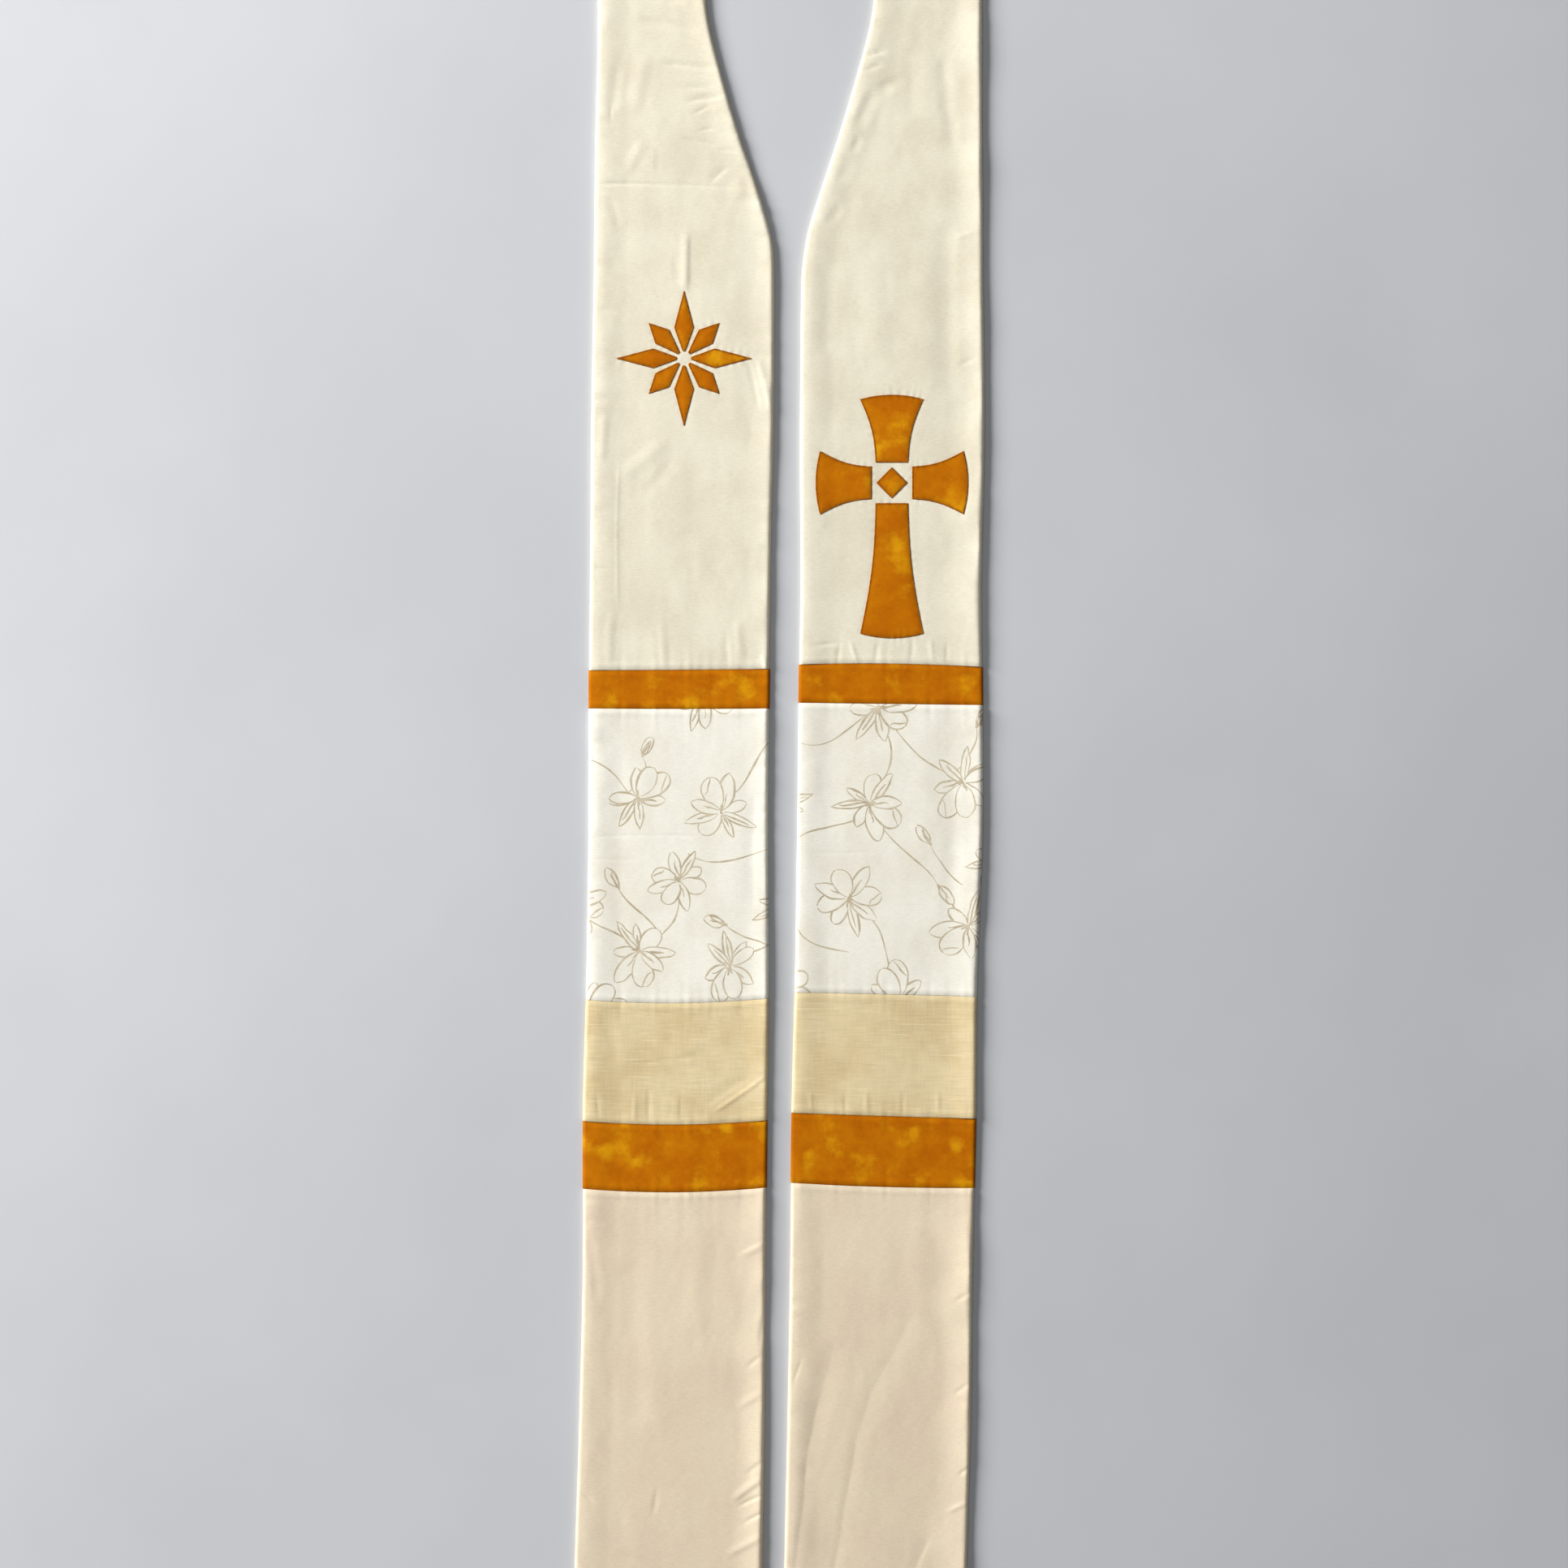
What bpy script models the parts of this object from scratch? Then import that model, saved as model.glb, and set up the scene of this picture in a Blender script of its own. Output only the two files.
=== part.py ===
# A clergy stole laid flat and face up: two long pieced bands that meet at a seam behind the neck.
# Metres, +Z up. The stole lies on the plane Z = 0 with its neck towards +Y, and the origin is the
# middle of its footprint. Tables are in millimetres, measured from the shoulder line, where each
# band stops being straight and starts to turn round the neck, and from the line between the bands.

import math
from collections import namedtuple

import bmesh
import bpy
from mathutils import Vector

MM = 0.001

# Cloth, in millimetres: face cloth, interfacing and backing make one soft wall
WALL = 2.7
SEAM_GAP = 0.3
SEAM_DIP = 0.5
SEAM_DIP_REACH = 4.0
EDGE_RIDGE = 0.4
EDGE_RIDGE_FROM = 5.0
EDGE_RIDGE_TO = 21.0
EDGE_BULGE_HEIGHT = 0.45
EDGE_TOP_DROP = 0.5
EDGE_FOOT_INSET = 0.6
EDGE_INSETS = (1.0, 4.0, 12.0, 21.0)
MIDDLE_POINTS = 4

# The neck: each half turns about a point on the far side of the middle line, so the top is pointed
ARCH_OFFSET = 25.0
ARCH_STATIONS = 12

# Band edges, from the middle line, at distances down from the shoulder line
Edge = namedtuple("Edge", "down outer inner")
LEFT_EDGES = (
    Edge(0.0, 131.3, 58.3),
    Edge(26.0, 131.3, 56.4),
    Edge(52.0, 131.4, 50.9),
    Edge(105.0, 132.8, 35.9),
    Edge(146.0, 133.4, 22.0),
    Edge(172.0, 133.5, 14.4),
    Edge(187.0, 133.8, 11.6),
    Edge(208.0, 134.0, 10.8),
    Edge(300.0, 135.7, 11.2),
    Edge(383.0, 136.3, 13.0),
    Edge(476.0, 137.2, 14.3),
    Edge(577.0, 137.4, 15.2),
    Edge(688.0, 139.0, 14.8),
    Edge(772.0, 141.2, 15.8),
    Edge(884.0, 141.6, 16.9),
    Edge(994.0, 144.2, 17.6),
    Edge(1052.0, 146.1, 18.5),
    Edge(1155.0, 149.2, 19.7),
)
RIGHT_EDGES = (
    Edge(0.0, 131.3, 58.3),
    Edge(26.0, 131.3, 56.2),
    Edge(52.0, 131.3, 50.3),
    Edge(105.0, 131.4, 34.8),
    Edge(146.0, 131.7, 21.4),
    Edge(172.0, 131.8, 13.2),
    Edge(187.0, 131.9, 10.2),
    Edge(206.0, 132.0, 8.1),
    Edge(272.0, 132.8, 7.2),
    Edge(330.0, 132.8, 6.9),
    Edge(411.0, 130.9, 7.4),
    Edge(474.0, 131.3, 6.5),
    Edge(577.0, 131.7, 5.3),
    Edge(688.0, 127.9, 3.6),
    Edge(777.0, 127.0, 1.4),
    Edge(884.0, 124.8, 0.2),
    Edge(994.0, 123.5, -1.8),
    Edge(1052.0, 121.8, -3.1),
    Edge(1153.0, 119.3, -5.1),
)

# Seams between the panels, down from the shoulder line: at the outer edge, middle and inner edge
Seam = namedtuple("Seam", "outer middle inner")
LEFT_SEAMS = (
    Seam(475.1, 474.8, 474.2),
    Seam(501.2, 501.5, 501.2),
    Seam(700.4, 702.6, 699.4),
    Seam(783.1, 785.7, 782.6),
    Seam(829.4, 831.9, 828.6),
    Seam(1155.0, 1155.8, 1154.0),
)
RIGHT_SEAMS = (
    Seam(472.9, 470.6, 471.2),
    Seam(498.9, 498.1, 497.3),
    Seam(698.2, 696.6, 695.4),
    Seam(781.4, 779.8, 777.6),
    Seam(828.9, 828.2, 825.4),
    Seam(1152.0, 1152.8, 1151.0),
)

# Panels from the neck down. Proud is how far a panel stands out past the band's edge on each side
Panel = namedtuple("Panel", "name spans proud cloth")
PANELS = (
    Panel("upper_panel", 30, 0.0, "cream_cotton"),
    Panel("narrow_gold_band", 2, 0.6, "gold_cotton"),
    Panel("print_panel", 12, 0.2, "print_cotton"),
    Panel("linen_panel", 6, 0.3, "linen"),
    Panel("wide_gold_band", 3, 0.5, "gold_cotton"),
    Panel("lower_panel", 24, 0.0, "muslin"),
)

# The largest creases, as straight soft troughs (rise below zero) or ridges. Side is -1 for left
Fold = namedtuple("Fold", "side x0 down0 x1 down1 reach rise")
FOLDS = (
    Fold(1, 98.0, 885.0, 59.0, 962.0, 13.0, -0.45),
    Fold(1, 62.0, 955.0, 34.0, 1050.0, 12.0, -0.7),
    Fold(1, 35.0, 1045.0, 22.0, 1145.0, 12.0, -0.6),
    Fold(1, 24.0, 955.0, 7.0, 1055.0, 11.0, -0.6),
    Fold(1, 34.0, 120.0, 52.0, 62.0, 10.0, -0.5),
    Fold(1, 108.0, 60.0, 111.0, 120.0, 11.0, -0.5),
    Fold(-1, -16.0, 1040.0, -42.0, 1056.0, 8.0, 0.7),
    Fold(-1, -19.0, 1056.0, -46.0, 1076.0, 8.0, -0.6),
    Fold(-1, -143.0, 1036.0, -128.0, 1046.0, 8.0, -0.5),
    Fold(-1, -16.0, 880.0, -24.0, 905.0, 10.0, 0.5),
    Fold(-1, -131.0, 143.5, -60.0, 147.0, 7.0, -0.45),
    Fold(-1, -20.0, 752.0, -38.0, 772.0, 8.0, 0.6),
)

# Gold patches, bedded in the upper panels so that they stand only as proud as cloth does. The star
# has a point for each eighth of a turn, and the cross an arm each way from a square on its corner
BED_FLOOR = 1.0
BED_CUT_TOP = 6.0
PATCH_WALL = 1.7
STAR_X, STAR_DOWN = -72.5, 262.0
STAR_POINTS = 8
STAR_ROOT, STAR_WIDEST = 5.0, 21.0
STAR_LONG, STAR_SHORT = 46.0, 34.0
STAR_ROOT_HALF_WIDTH, STAR_HALF_WIDTH = 0.8, 6.6
CROSS_X, CROSS_DOWN = 69.5, 347.0
ARM_ROOT, ARM_ROOT_HALF, ARM_END_HALF = 14.0, 11.0, 21.5
ARM_WAIST, ARM_END_BOW = 2.6, 3.0
ARM_STEPS = 6
CROSS_CENTRE = 10.5
Arm = namedtuple("Arm", "name length turn")
ARMS = (
    Arm("cross_arm_top", 60.0, 0.0),
    Arm("cross_arm_left", 52.0, 90.0),
    Arm("cross_arm_foot", 106.0, 180.0),
    Arm("cross_arm_right", 52.0, 270.0),
)

# Colour, roughness of each cloth
CLOTHS = {
    "cream_cotton": ((0.80, 0.75, 0.63), 0.85),
    "gold_cotton": ((0.50, 0.14, 0.004), 0.8),
    "print_cotton": ((0.83, 0.80, 0.72), 0.85),
    "linen": ((0.70, 0.56, 0.32), 0.88),
    "muslin": ((0.70, 0.59, 0.43), 0.87),
}


def ease(value, low, high):
    """0 below low, 1 above high, and a smooth step between."""
    share = min(1.0, max(0.0, (value - low) / (high - low)))
    return share * share * (3.0 - 2.0 * share)


def edge_at(rows, column, down):
    """The smooth curve through one column of an edge table, with no slope at the shoulder line."""
    at = [row.down for row in rows]
    values = [getattr(row, column) for row in rows]
    last = len(rows) - 1
    k = next((i for i in range(last) if down <= at[i + 1]), last - 1)

    def slope(i):
        if i == 0:
            return 0.0
        before, after = i - 1, min(i + 1, last)
        return (values[after] - values[before]) / (at[after] - at[before])

    span = at[k + 1] - at[k]
    t = (down - at[k]) / span
    return (
        (2 * t**3 - 3 * t**2 + 1) * values[k]
        + (t**3 - 2 * t**2 + t) * span * slope(k)
        + (3 * t**2 - 2 * t**3) * values[k + 1]
        + (t**3 - t**2) * span * slope(k + 1)
    )


def seam_at(seam, u):
    """How far down a seam lies, u of the way from the outer edge to the inner edge."""
    outer, middle, inner = seam
    return (
        outer * (2 * u - 1) * (u - 1) + middle * 4 * u * (1 - u) + inner * u * (2 * u - 1)
    )


def fold_lift(side, x, down):
    """What the creases add to the cloth's height at a point. Each fades out just past its ends."""
    lift = 0.0
    for fold in FOLDS:
        if fold.side != side:
            continue
        run = (fold.x1 - fold.x0, fold.down1 - fold.down0)
        length = math.hypot(*run)
        away = (x - fold.x0, down - fold.down0)
        along = (away[0] * run[0] + away[1] * run[1]) / length
        across = abs(away[0] * run[1] - away[1] * run[0]) / length
        ends = min(along, length - along) + fold.reach / 2
        lift += fold.rise * ease(fold.reach - across, 0.0, fold.reach) * ease(ends, 0.0, fold.reach)
    return lift


def across(width):
    """Distances from the outer edge at which a section has a point on its upper face."""
    first, last = EDGE_INSETS[-1], width - EDGE_INSETS[-1]
    step = (last - first) / (MIDDLE_POINTS + 1)
    middle = [first + step * (i + 1) for i in range(MIDDLE_POINTS)]
    return [*EDGE_INSETS, *middle, *(width - inset for inset in reversed(EDGE_INSETS))]


def section(place, width, side, seam_distance):
    """One section across a band, as its upper points, lower points and the two bulging sides.

    place(u) gives x and y, u of the way from the outer edge to the inner edge.
    """
    insets = across(width)
    upper = []
    for inset in insets:
        x, y = place(inset / width)
        edge = min(inset, width - inset)
        height = WALL + EDGE_RIDGE * (1 - ease(edge, EDGE_RIDGE_FROM, EDGE_RIDGE_TO))
        height -= EDGE_TOP_DROP * (1 - ease(edge, EDGE_INSETS[0], EDGE_INSETS[1]))
        height -= SEAM_DIP * (1 - ease(seam_distance, 0.0, SEAM_DIP_REACH))
        upper.append((x, y, height + fold_lift(side, x, -y)))
    feet = [EDGE_FOOT_INSET, *insets[1:-1], width - EDGE_FOOT_INSET]
    lower = [(*place(inset / width), 0.0) for inset in feet]
    bulge = EDGE_BULGE_HEIGHT * WALL
    outer, inner = (*place(0.0), bulge), (*place(1.0), bulge)
    return upper, lower, outer, inner


def arch_sections(side, edges):
    """The sections round the neck, from the seam behind it to just before the shoulder line."""
    outer_radius = ARCH_OFFSET + edges[0].outer
    inner_radius = ARCH_OFFSET + edges[0].inner
    width = outer_radius - inner_radius
    sections = []
    for step in range(ARCH_STATIONS, 0, -1):
        share = step / ARCH_STATIONS

        def place(u):
            radius = outer_radius - u * width
            turned = share * math.acos((ARCH_OFFSET + SEAM_GAP / 2) / radius)
            x = radius * math.cos(turned) - ARCH_OFFSET
            return side * x, radius * math.sin(turned)

        seam_distance = (1 - share) * inner_radius * math.pi / 2
        sections.append(section(place, width, side, seam_distance))
    return sections


def panel_shares(length, spans):
    """Where a panel has sections: evenly along it, and once more close to each seam."""
    near = SEAM_DIP_REACH / length
    inner = [near + (1 - 2 * near) * i / spans for i in range(spans + 1)]
    return [0.0, *inner, 1.0]


def panel_sections(side, edges, panel, above, below):
    """The sections of one panel between the seam above it and the seam below it."""

    def place_at(share):
        def place(u):
            top = seam_at(above, u) if above else 0.0
            gap = SEAM_GAP / 2
            start = top + gap if above else 0.0
            down = start + (seam_at(below, u) - gap - start) * share
            outer = edge_at(edges, "outer", down) + panel.proud
            inner = edge_at(edges, "inner", down) - panel.proud
            return side * (outer + (inner - outer) * u), -down

        return place

    length = below.middle - (above.middle if above else 0.0)
    sections = []
    for share in panel_shares(length, panel.spans):
        place = place_at(share)
        width = math.dist(place(0.0), place(1.0))
        to_seam = (1 - share) * length
        if above:
            to_seam = min(to_seam, share * length)
        sections.append(section(place, width, side, to_seam))
    return sections if above else sections[:1] + sections[2:]


def lay_out():
    """Every panel's name, cloth and sections, in millimetres from the shoulder line."""
    laid = []
    for word, side, edges, seams in (
        ("left", -1, LEFT_EDGES, LEFT_SEAMS),
        ("right", 1, RIGHT_EDGES, RIGHT_SEAMS),
    ):
        above = None
        for panel, below in zip(PANELS, seams):
            sections = panel_sections(side, edges, panel, above, below)
            if above is None:
                sections = arch_sections(side, edges) + sections
            laid.append((f"{word}_{panel.name}", panel.cloth, sections))
            above = below
    return laid


def footprint_middle(laid):
    """The middle of the box round all the sections, seen from above."""
    sides = [point for _, _, rows in laid for row in rows for point in (*row[0], *row[1], *row[2:])]
    xs = [point[0] for point in sides]
    ys = [point[1] for point in sides]
    return (min(xs) + max(xs)) / 2, (min(ys) + max(ys)) / 2


def make_cloth(name):
    """A plain woven cloth material of one colour."""
    colour, roughness = CLOTHS[name]
    material = bpy.data.materials.new(name)
    material.use_nodes = True
    shader = material.node_tree.nodes["Principled BSDF"]
    shader.inputs["Base Color"].default_value = (*colour, 1.0)
    shader.inputs["Roughness"].default_value = roughness
    shader.inputs["Metallic"].default_value = 0.0
    return material


def loft_panel(name, sections, middle, material):
    """A closed soft slab through its sections, with a flat underside."""
    mesh = bpy.data.meshes.new(name)
    shell = bmesh.new()

    def vertex(point):
        return shell.verts.new(((point[0] - middle[0]) * MM, (point[1] - middle[1]) * MM, point[2] * MM))

    rings = []
    for upper, lower, outer, inner in sections:
        tops = [vertex(point) for point in upper]
        feet = [vertex(point) for point in lower]
        rings.append((tops, feet, vertex(outer), vertex(inner)))
    for (tops, feet, outer, inner), (tops2, feet2, outer2, inner2) in zip(rings, rings[1:]):
        ring = [outer, *tops, inner, *reversed(feet)]
        ring2 = [outer2, *tops2, inner2, *reversed(feet2)]
        for i in range(len(ring)):
            j = (i + 1) % len(ring)
            shell.faces.new((ring[i], ring[j], ring2[j], ring2[i]))
    for tops, feet, outer, inner in (rings[0], rings[-1]):
        for i in range(len(tops) - 1):
            shell.faces.new((tops[i], tops[i + 1], feet[i + 1], feet[i]))
        shell.faces.new((outer, tops[0], feet[0]))
        shell.faces.new((tops[-1], inner, feet[-1]))
    bmesh.ops.recalc_face_normals(shell, faces=shell.faces)
    shell.to_mesh(mesh)
    shell.free()
    mesh.materials.append(material)
    return bpy.data.objects.new(name, mesh)


def lozenge(length):
    """A star point along +Y, anticlockwise from its blunt root near the star's centre."""
    root, half = STAR_ROOT_HALF_WIDTH, STAR_HALF_WIDTH
    return [(-root, STAR_ROOT), (root, STAR_ROOT), (half, STAR_WIDEST), (0.0, length), (-half, STAR_WIDEST)]


def cross_arm(length):
    """A flared arm along +Y with hollow sides and a bowed end, anticlockwise from its root."""
    end = length - ARM_END_BOW
    side = []
    for i in range(ARM_STEPS + 1):
        t = i / ARM_STEPS
        half = ARM_ROOT_HALF + (ARM_END_HALF - ARM_ROOT_HALF) * t - ARM_WAIST * math.sin(math.pi * t)
        side.append((half, ARM_ROOT + (end - ARM_ROOT) * t))
    cap = []
    for i in range(1, ARM_STEPS):
        t = 1 - 2 * i / ARM_STEPS
        cap.append((ARM_END_HALF * t, end + ARM_END_BOW * (1 - t * t)))
    return [*side, *cap, *((-x, y) for x, y in reversed(side))]


def grown(outline, margin):
    """An anticlockwise outline with each of its sides moved out by margin."""
    points = [Vector(point) for point in outline]
    moved = []
    for i, point in enumerate(points):
        before = (point - points[i - 1]).normalized()
        after = (points[(i + 1) % len(points)] - point).normalized()
        outwards = Vector((before.y + after.y, -before.x - after.x))
        moved.append(point + outwards * (2 * margin / outwards.length_squared))
    return moved


def flat_piece(name, outline, low, high, place, turn):
    """A flat outline as a curve filled between two heights, turned about the vertical."""
    curve = bpy.data.curves.new(name, "CURVE")
    curve.dimensions = "2D"
    curve.fill_mode = "BOTH"
    curve.extrude = (high - low) / 2 * MM
    spline = curve.splines.new("POLY")
    spline.points.add(len(outline) - 1)
    for point, (x, y) in zip(spline.points, outline):
        point.co = (x * MM, y * MM, 0.0, 1.0)
    spline.use_cyclic_u = True
    piece = bpy.data.objects.new(name, curve)
    piece.location = (place[0] * MM, place[1] * MM, (low + high) / 2 * MM)
    piece.rotation_euler = (0.0, 0.0, math.radians(turn))
    return piece


def bed_cutter(name, outline, place, turn, collection):
    """The same outline as a closed mesh that cuts the bed for a patch."""
    curve = flat_piece(name + "_outline", outline, BED_FLOOR, BED_CUT_TOP, place, turn)
    collection.objects.link(curve)
    bpy.context.view_layer.update()
    evaluated = curve.evaluated_get(bpy.context.evaluated_depsgraph_get())
    mesh = bpy.data.meshes.new_from_object(evaluated)
    welded = bmesh.new()
    welded.from_mesh(mesh)
    bmesh.ops.remove_doubles(welded, verts=welded.verts, dist=0.01 * MM)
    bmesh.ops.recalc_face_normals(welded, faces=welded.faces)
    welded.to_mesh(mesh)
    welded.free()
    cutter = bpy.data.objects.new(name, mesh)
    cutter.matrix_world = curve.matrix_world.copy()
    cutter.hide_render = True
    cutter.display_type = "WIRE"
    collection.objects.link(cutter)
    bpy.data.objects.remove(curve)


def bed_patches(pieces, centre, beds, stole, root, material):
    """Lays each patch in a bed of its own, a seam gap clear of the panel all round."""
    low = BED_FLOOR + SEAM_GAP
    for name, outline, turn in pieces:
        piece = flat_piece(name, outline, low, low + PATCH_WALL, centre, turn)
        piece.data.materials.append(material)
        piece.parent = root
        stole.objects.link(piece)
        bed_cutter(name + "_bed", grown(outline, SEAM_GAP), centre, turn, beds)


def cut_beds(panel, beds):
    """Cuts all the beds of one motif out of a panel."""
    cut = panel.modifiers.new("beds", "BOOLEAN")
    cut.operation = "DIFFERENCE"
    cut.operand_type = "COLLECTION"
    cut.collection = beds
    cut.solver = "EXACT"


def build():
    for old in list(bpy.data.objects):
        bpy.data.objects.remove(old)
    stole = bpy.data.collections.new("clergy_stole")
    star_beds = bpy.data.collections.new("star_beds")
    cross_beds = bpy.data.collections.new("cross_beds")
    for collection in (stole, star_beds, cross_beds):
        bpy.context.scene.collection.children.link(collection)
    root = bpy.data.objects.new("stole_middle", None)
    stole.objects.link(root)
    cloths = {name: make_cloth(name) for name in CLOTHS}

    laid = lay_out()
    middle = footprint_middle(laid)
    panels = {}
    for name, cloth, sections in laid:
        panels[name] = loft_panel(name, sections, middle, cloths[cloth])
        panels[name].parent = root
        stole.objects.link(panels[name])

    star = []
    for k in range(STAR_POINTS):
        length = STAR_SHORT if k % 2 else STAR_LONG
        star.append((f"star_point_{k + 1}", lozenge(length), 360.0 * k / STAR_POINTS))
    star_place = (STAR_X - middle[0], -STAR_DOWN - middle[1])
    bed_patches(star, star_place, star_beds, stole, root, cloths["gold_cotton"])

    reach = CROSS_CENTRE
    cross = [("cross_centre", [(0.0, -reach), (reach, 0.0), (0.0, reach), (-reach, 0.0)], 0.0)]
    for arm in ARMS:
        cross.append((arm.name, cross_arm(arm.length), arm.turn))
    cross_place = (CROSS_X - middle[0], -CROSS_DOWN - middle[1])
    bed_patches(cross, cross_place, cross_beds, stole, root, cloths["gold_cotton"])

    cut_beds(panels["left_upper_panel"], star_beds)
    cut_beds(panels["right_upper_panel"], cross_beds)


build()
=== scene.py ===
import math
from collections import namedtuple

import bpy
import numpy as np
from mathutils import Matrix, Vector
from mathutils.geometry import delaunay_2d_cdt


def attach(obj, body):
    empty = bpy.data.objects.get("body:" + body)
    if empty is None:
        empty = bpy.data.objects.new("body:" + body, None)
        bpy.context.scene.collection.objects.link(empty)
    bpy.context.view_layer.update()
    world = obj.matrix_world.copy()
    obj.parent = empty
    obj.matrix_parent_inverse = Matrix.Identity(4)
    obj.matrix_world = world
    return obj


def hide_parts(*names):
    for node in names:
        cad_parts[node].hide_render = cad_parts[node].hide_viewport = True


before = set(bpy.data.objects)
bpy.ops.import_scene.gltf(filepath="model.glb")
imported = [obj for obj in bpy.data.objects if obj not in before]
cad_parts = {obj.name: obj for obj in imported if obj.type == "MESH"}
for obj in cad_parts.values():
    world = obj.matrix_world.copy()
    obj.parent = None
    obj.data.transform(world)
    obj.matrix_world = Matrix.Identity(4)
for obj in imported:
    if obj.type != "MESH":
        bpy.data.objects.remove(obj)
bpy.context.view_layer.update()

# The upper panels. Each half of the stole starts at the seam behind the neck as one shaped piece of
# cream cotton, curves round the neck and runs down the chest to the narrow gold band. It is faced
# over interfacing, turned at both edges and pressed flat, and lies face up.
MM = 0.001
MIDDLE_X, SHOULDER_Y = 8.13, 500.72
ARCH_OFFSET = 25.0
WALL = 2.7
SEAM_GAP = 0.06
EDGE_STEP = 1.2
GRAIN_STEP = 1.1
RING_INSETS = (0.25, 0.7, 1.3)
FIRST_GRAIN = 1.9

Edge = namedtuple("Edge", "down outer inner")
LEFT_EDGES = [Edge(*row) for row in (
    (0, 131.3, 58.3),
    (26, 131.3, 56.4),
    (52, 131.4, 50.9),
    (105, 132.8, 35.9),
    (146, 133.4, 22),
    (172, 133.5, 14.4),
    (187, 133.8, 11.6),
    (208, 134, 10.8),
    (300, 135.7, 11.2),
    (383, 136.3, 13),
    (476, 137.2, 14.3),
    (577, 137.4, 15.2),
    (688, 139, 14.8),
    (772, 141.2, 15.8),
    (884, 141.6, 16.9),
    (994, 144.2, 17.6),
    (1052, 146.1, 18.5),
    (1155, 149.2, 19.7),
)]
RIGHT_EDGES = [Edge(*row) for row in (
    (0, 131.3, 58.3),
    (26, 131.3, 56.2),
    (52, 131.3, 50.3),
    (105, 131.4, 34.8),
    (146, 131.7, 21.4),
    (172, 131.8, 13.2),
    (187, 131.9, 10.2),
    (206, 132, 8.1),
    (272, 132.8, 7.2),
    (330, 132.8, 6.9),
    (411, 130.9, 7.4),
    (474, 131.3, 6.5),
    (577, 131.7, 5.3),
    (688, 127.9, 3.6),
    (777, 127, 1.4),
    (884, 124.8, 0.2),
    (994, 123.5, -1.8),
    (1052, 121.8, -3.1),
    (1153, 119.3, -5.1),
)]
Seam = namedtuple("Seam", "outer middle inner")
LEFT_SEAMS = [Seam(*row) for row in (
    (475.1, 474.8, 474.2),
    (501.2, 501.5, 501.2),
    (700.4, 702.6, 699.4),
    (783.1, 785.7, 782.6),
    (829.4, 831.9, 828.6),
    (1155, 1155.8, 1154),
)]
RIGHT_SEAMS = [Seam(*row) for row in (
    (472.9, 470.6, 471.2),
    (498.9, 498.1, 497.3),
    (698.2, 696.6, 695.4),
    (781.4, 779.8, 777.6),
    (828.9, 828.2, 825.4),
    (1152, 1152.8, 1151),
)]

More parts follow.
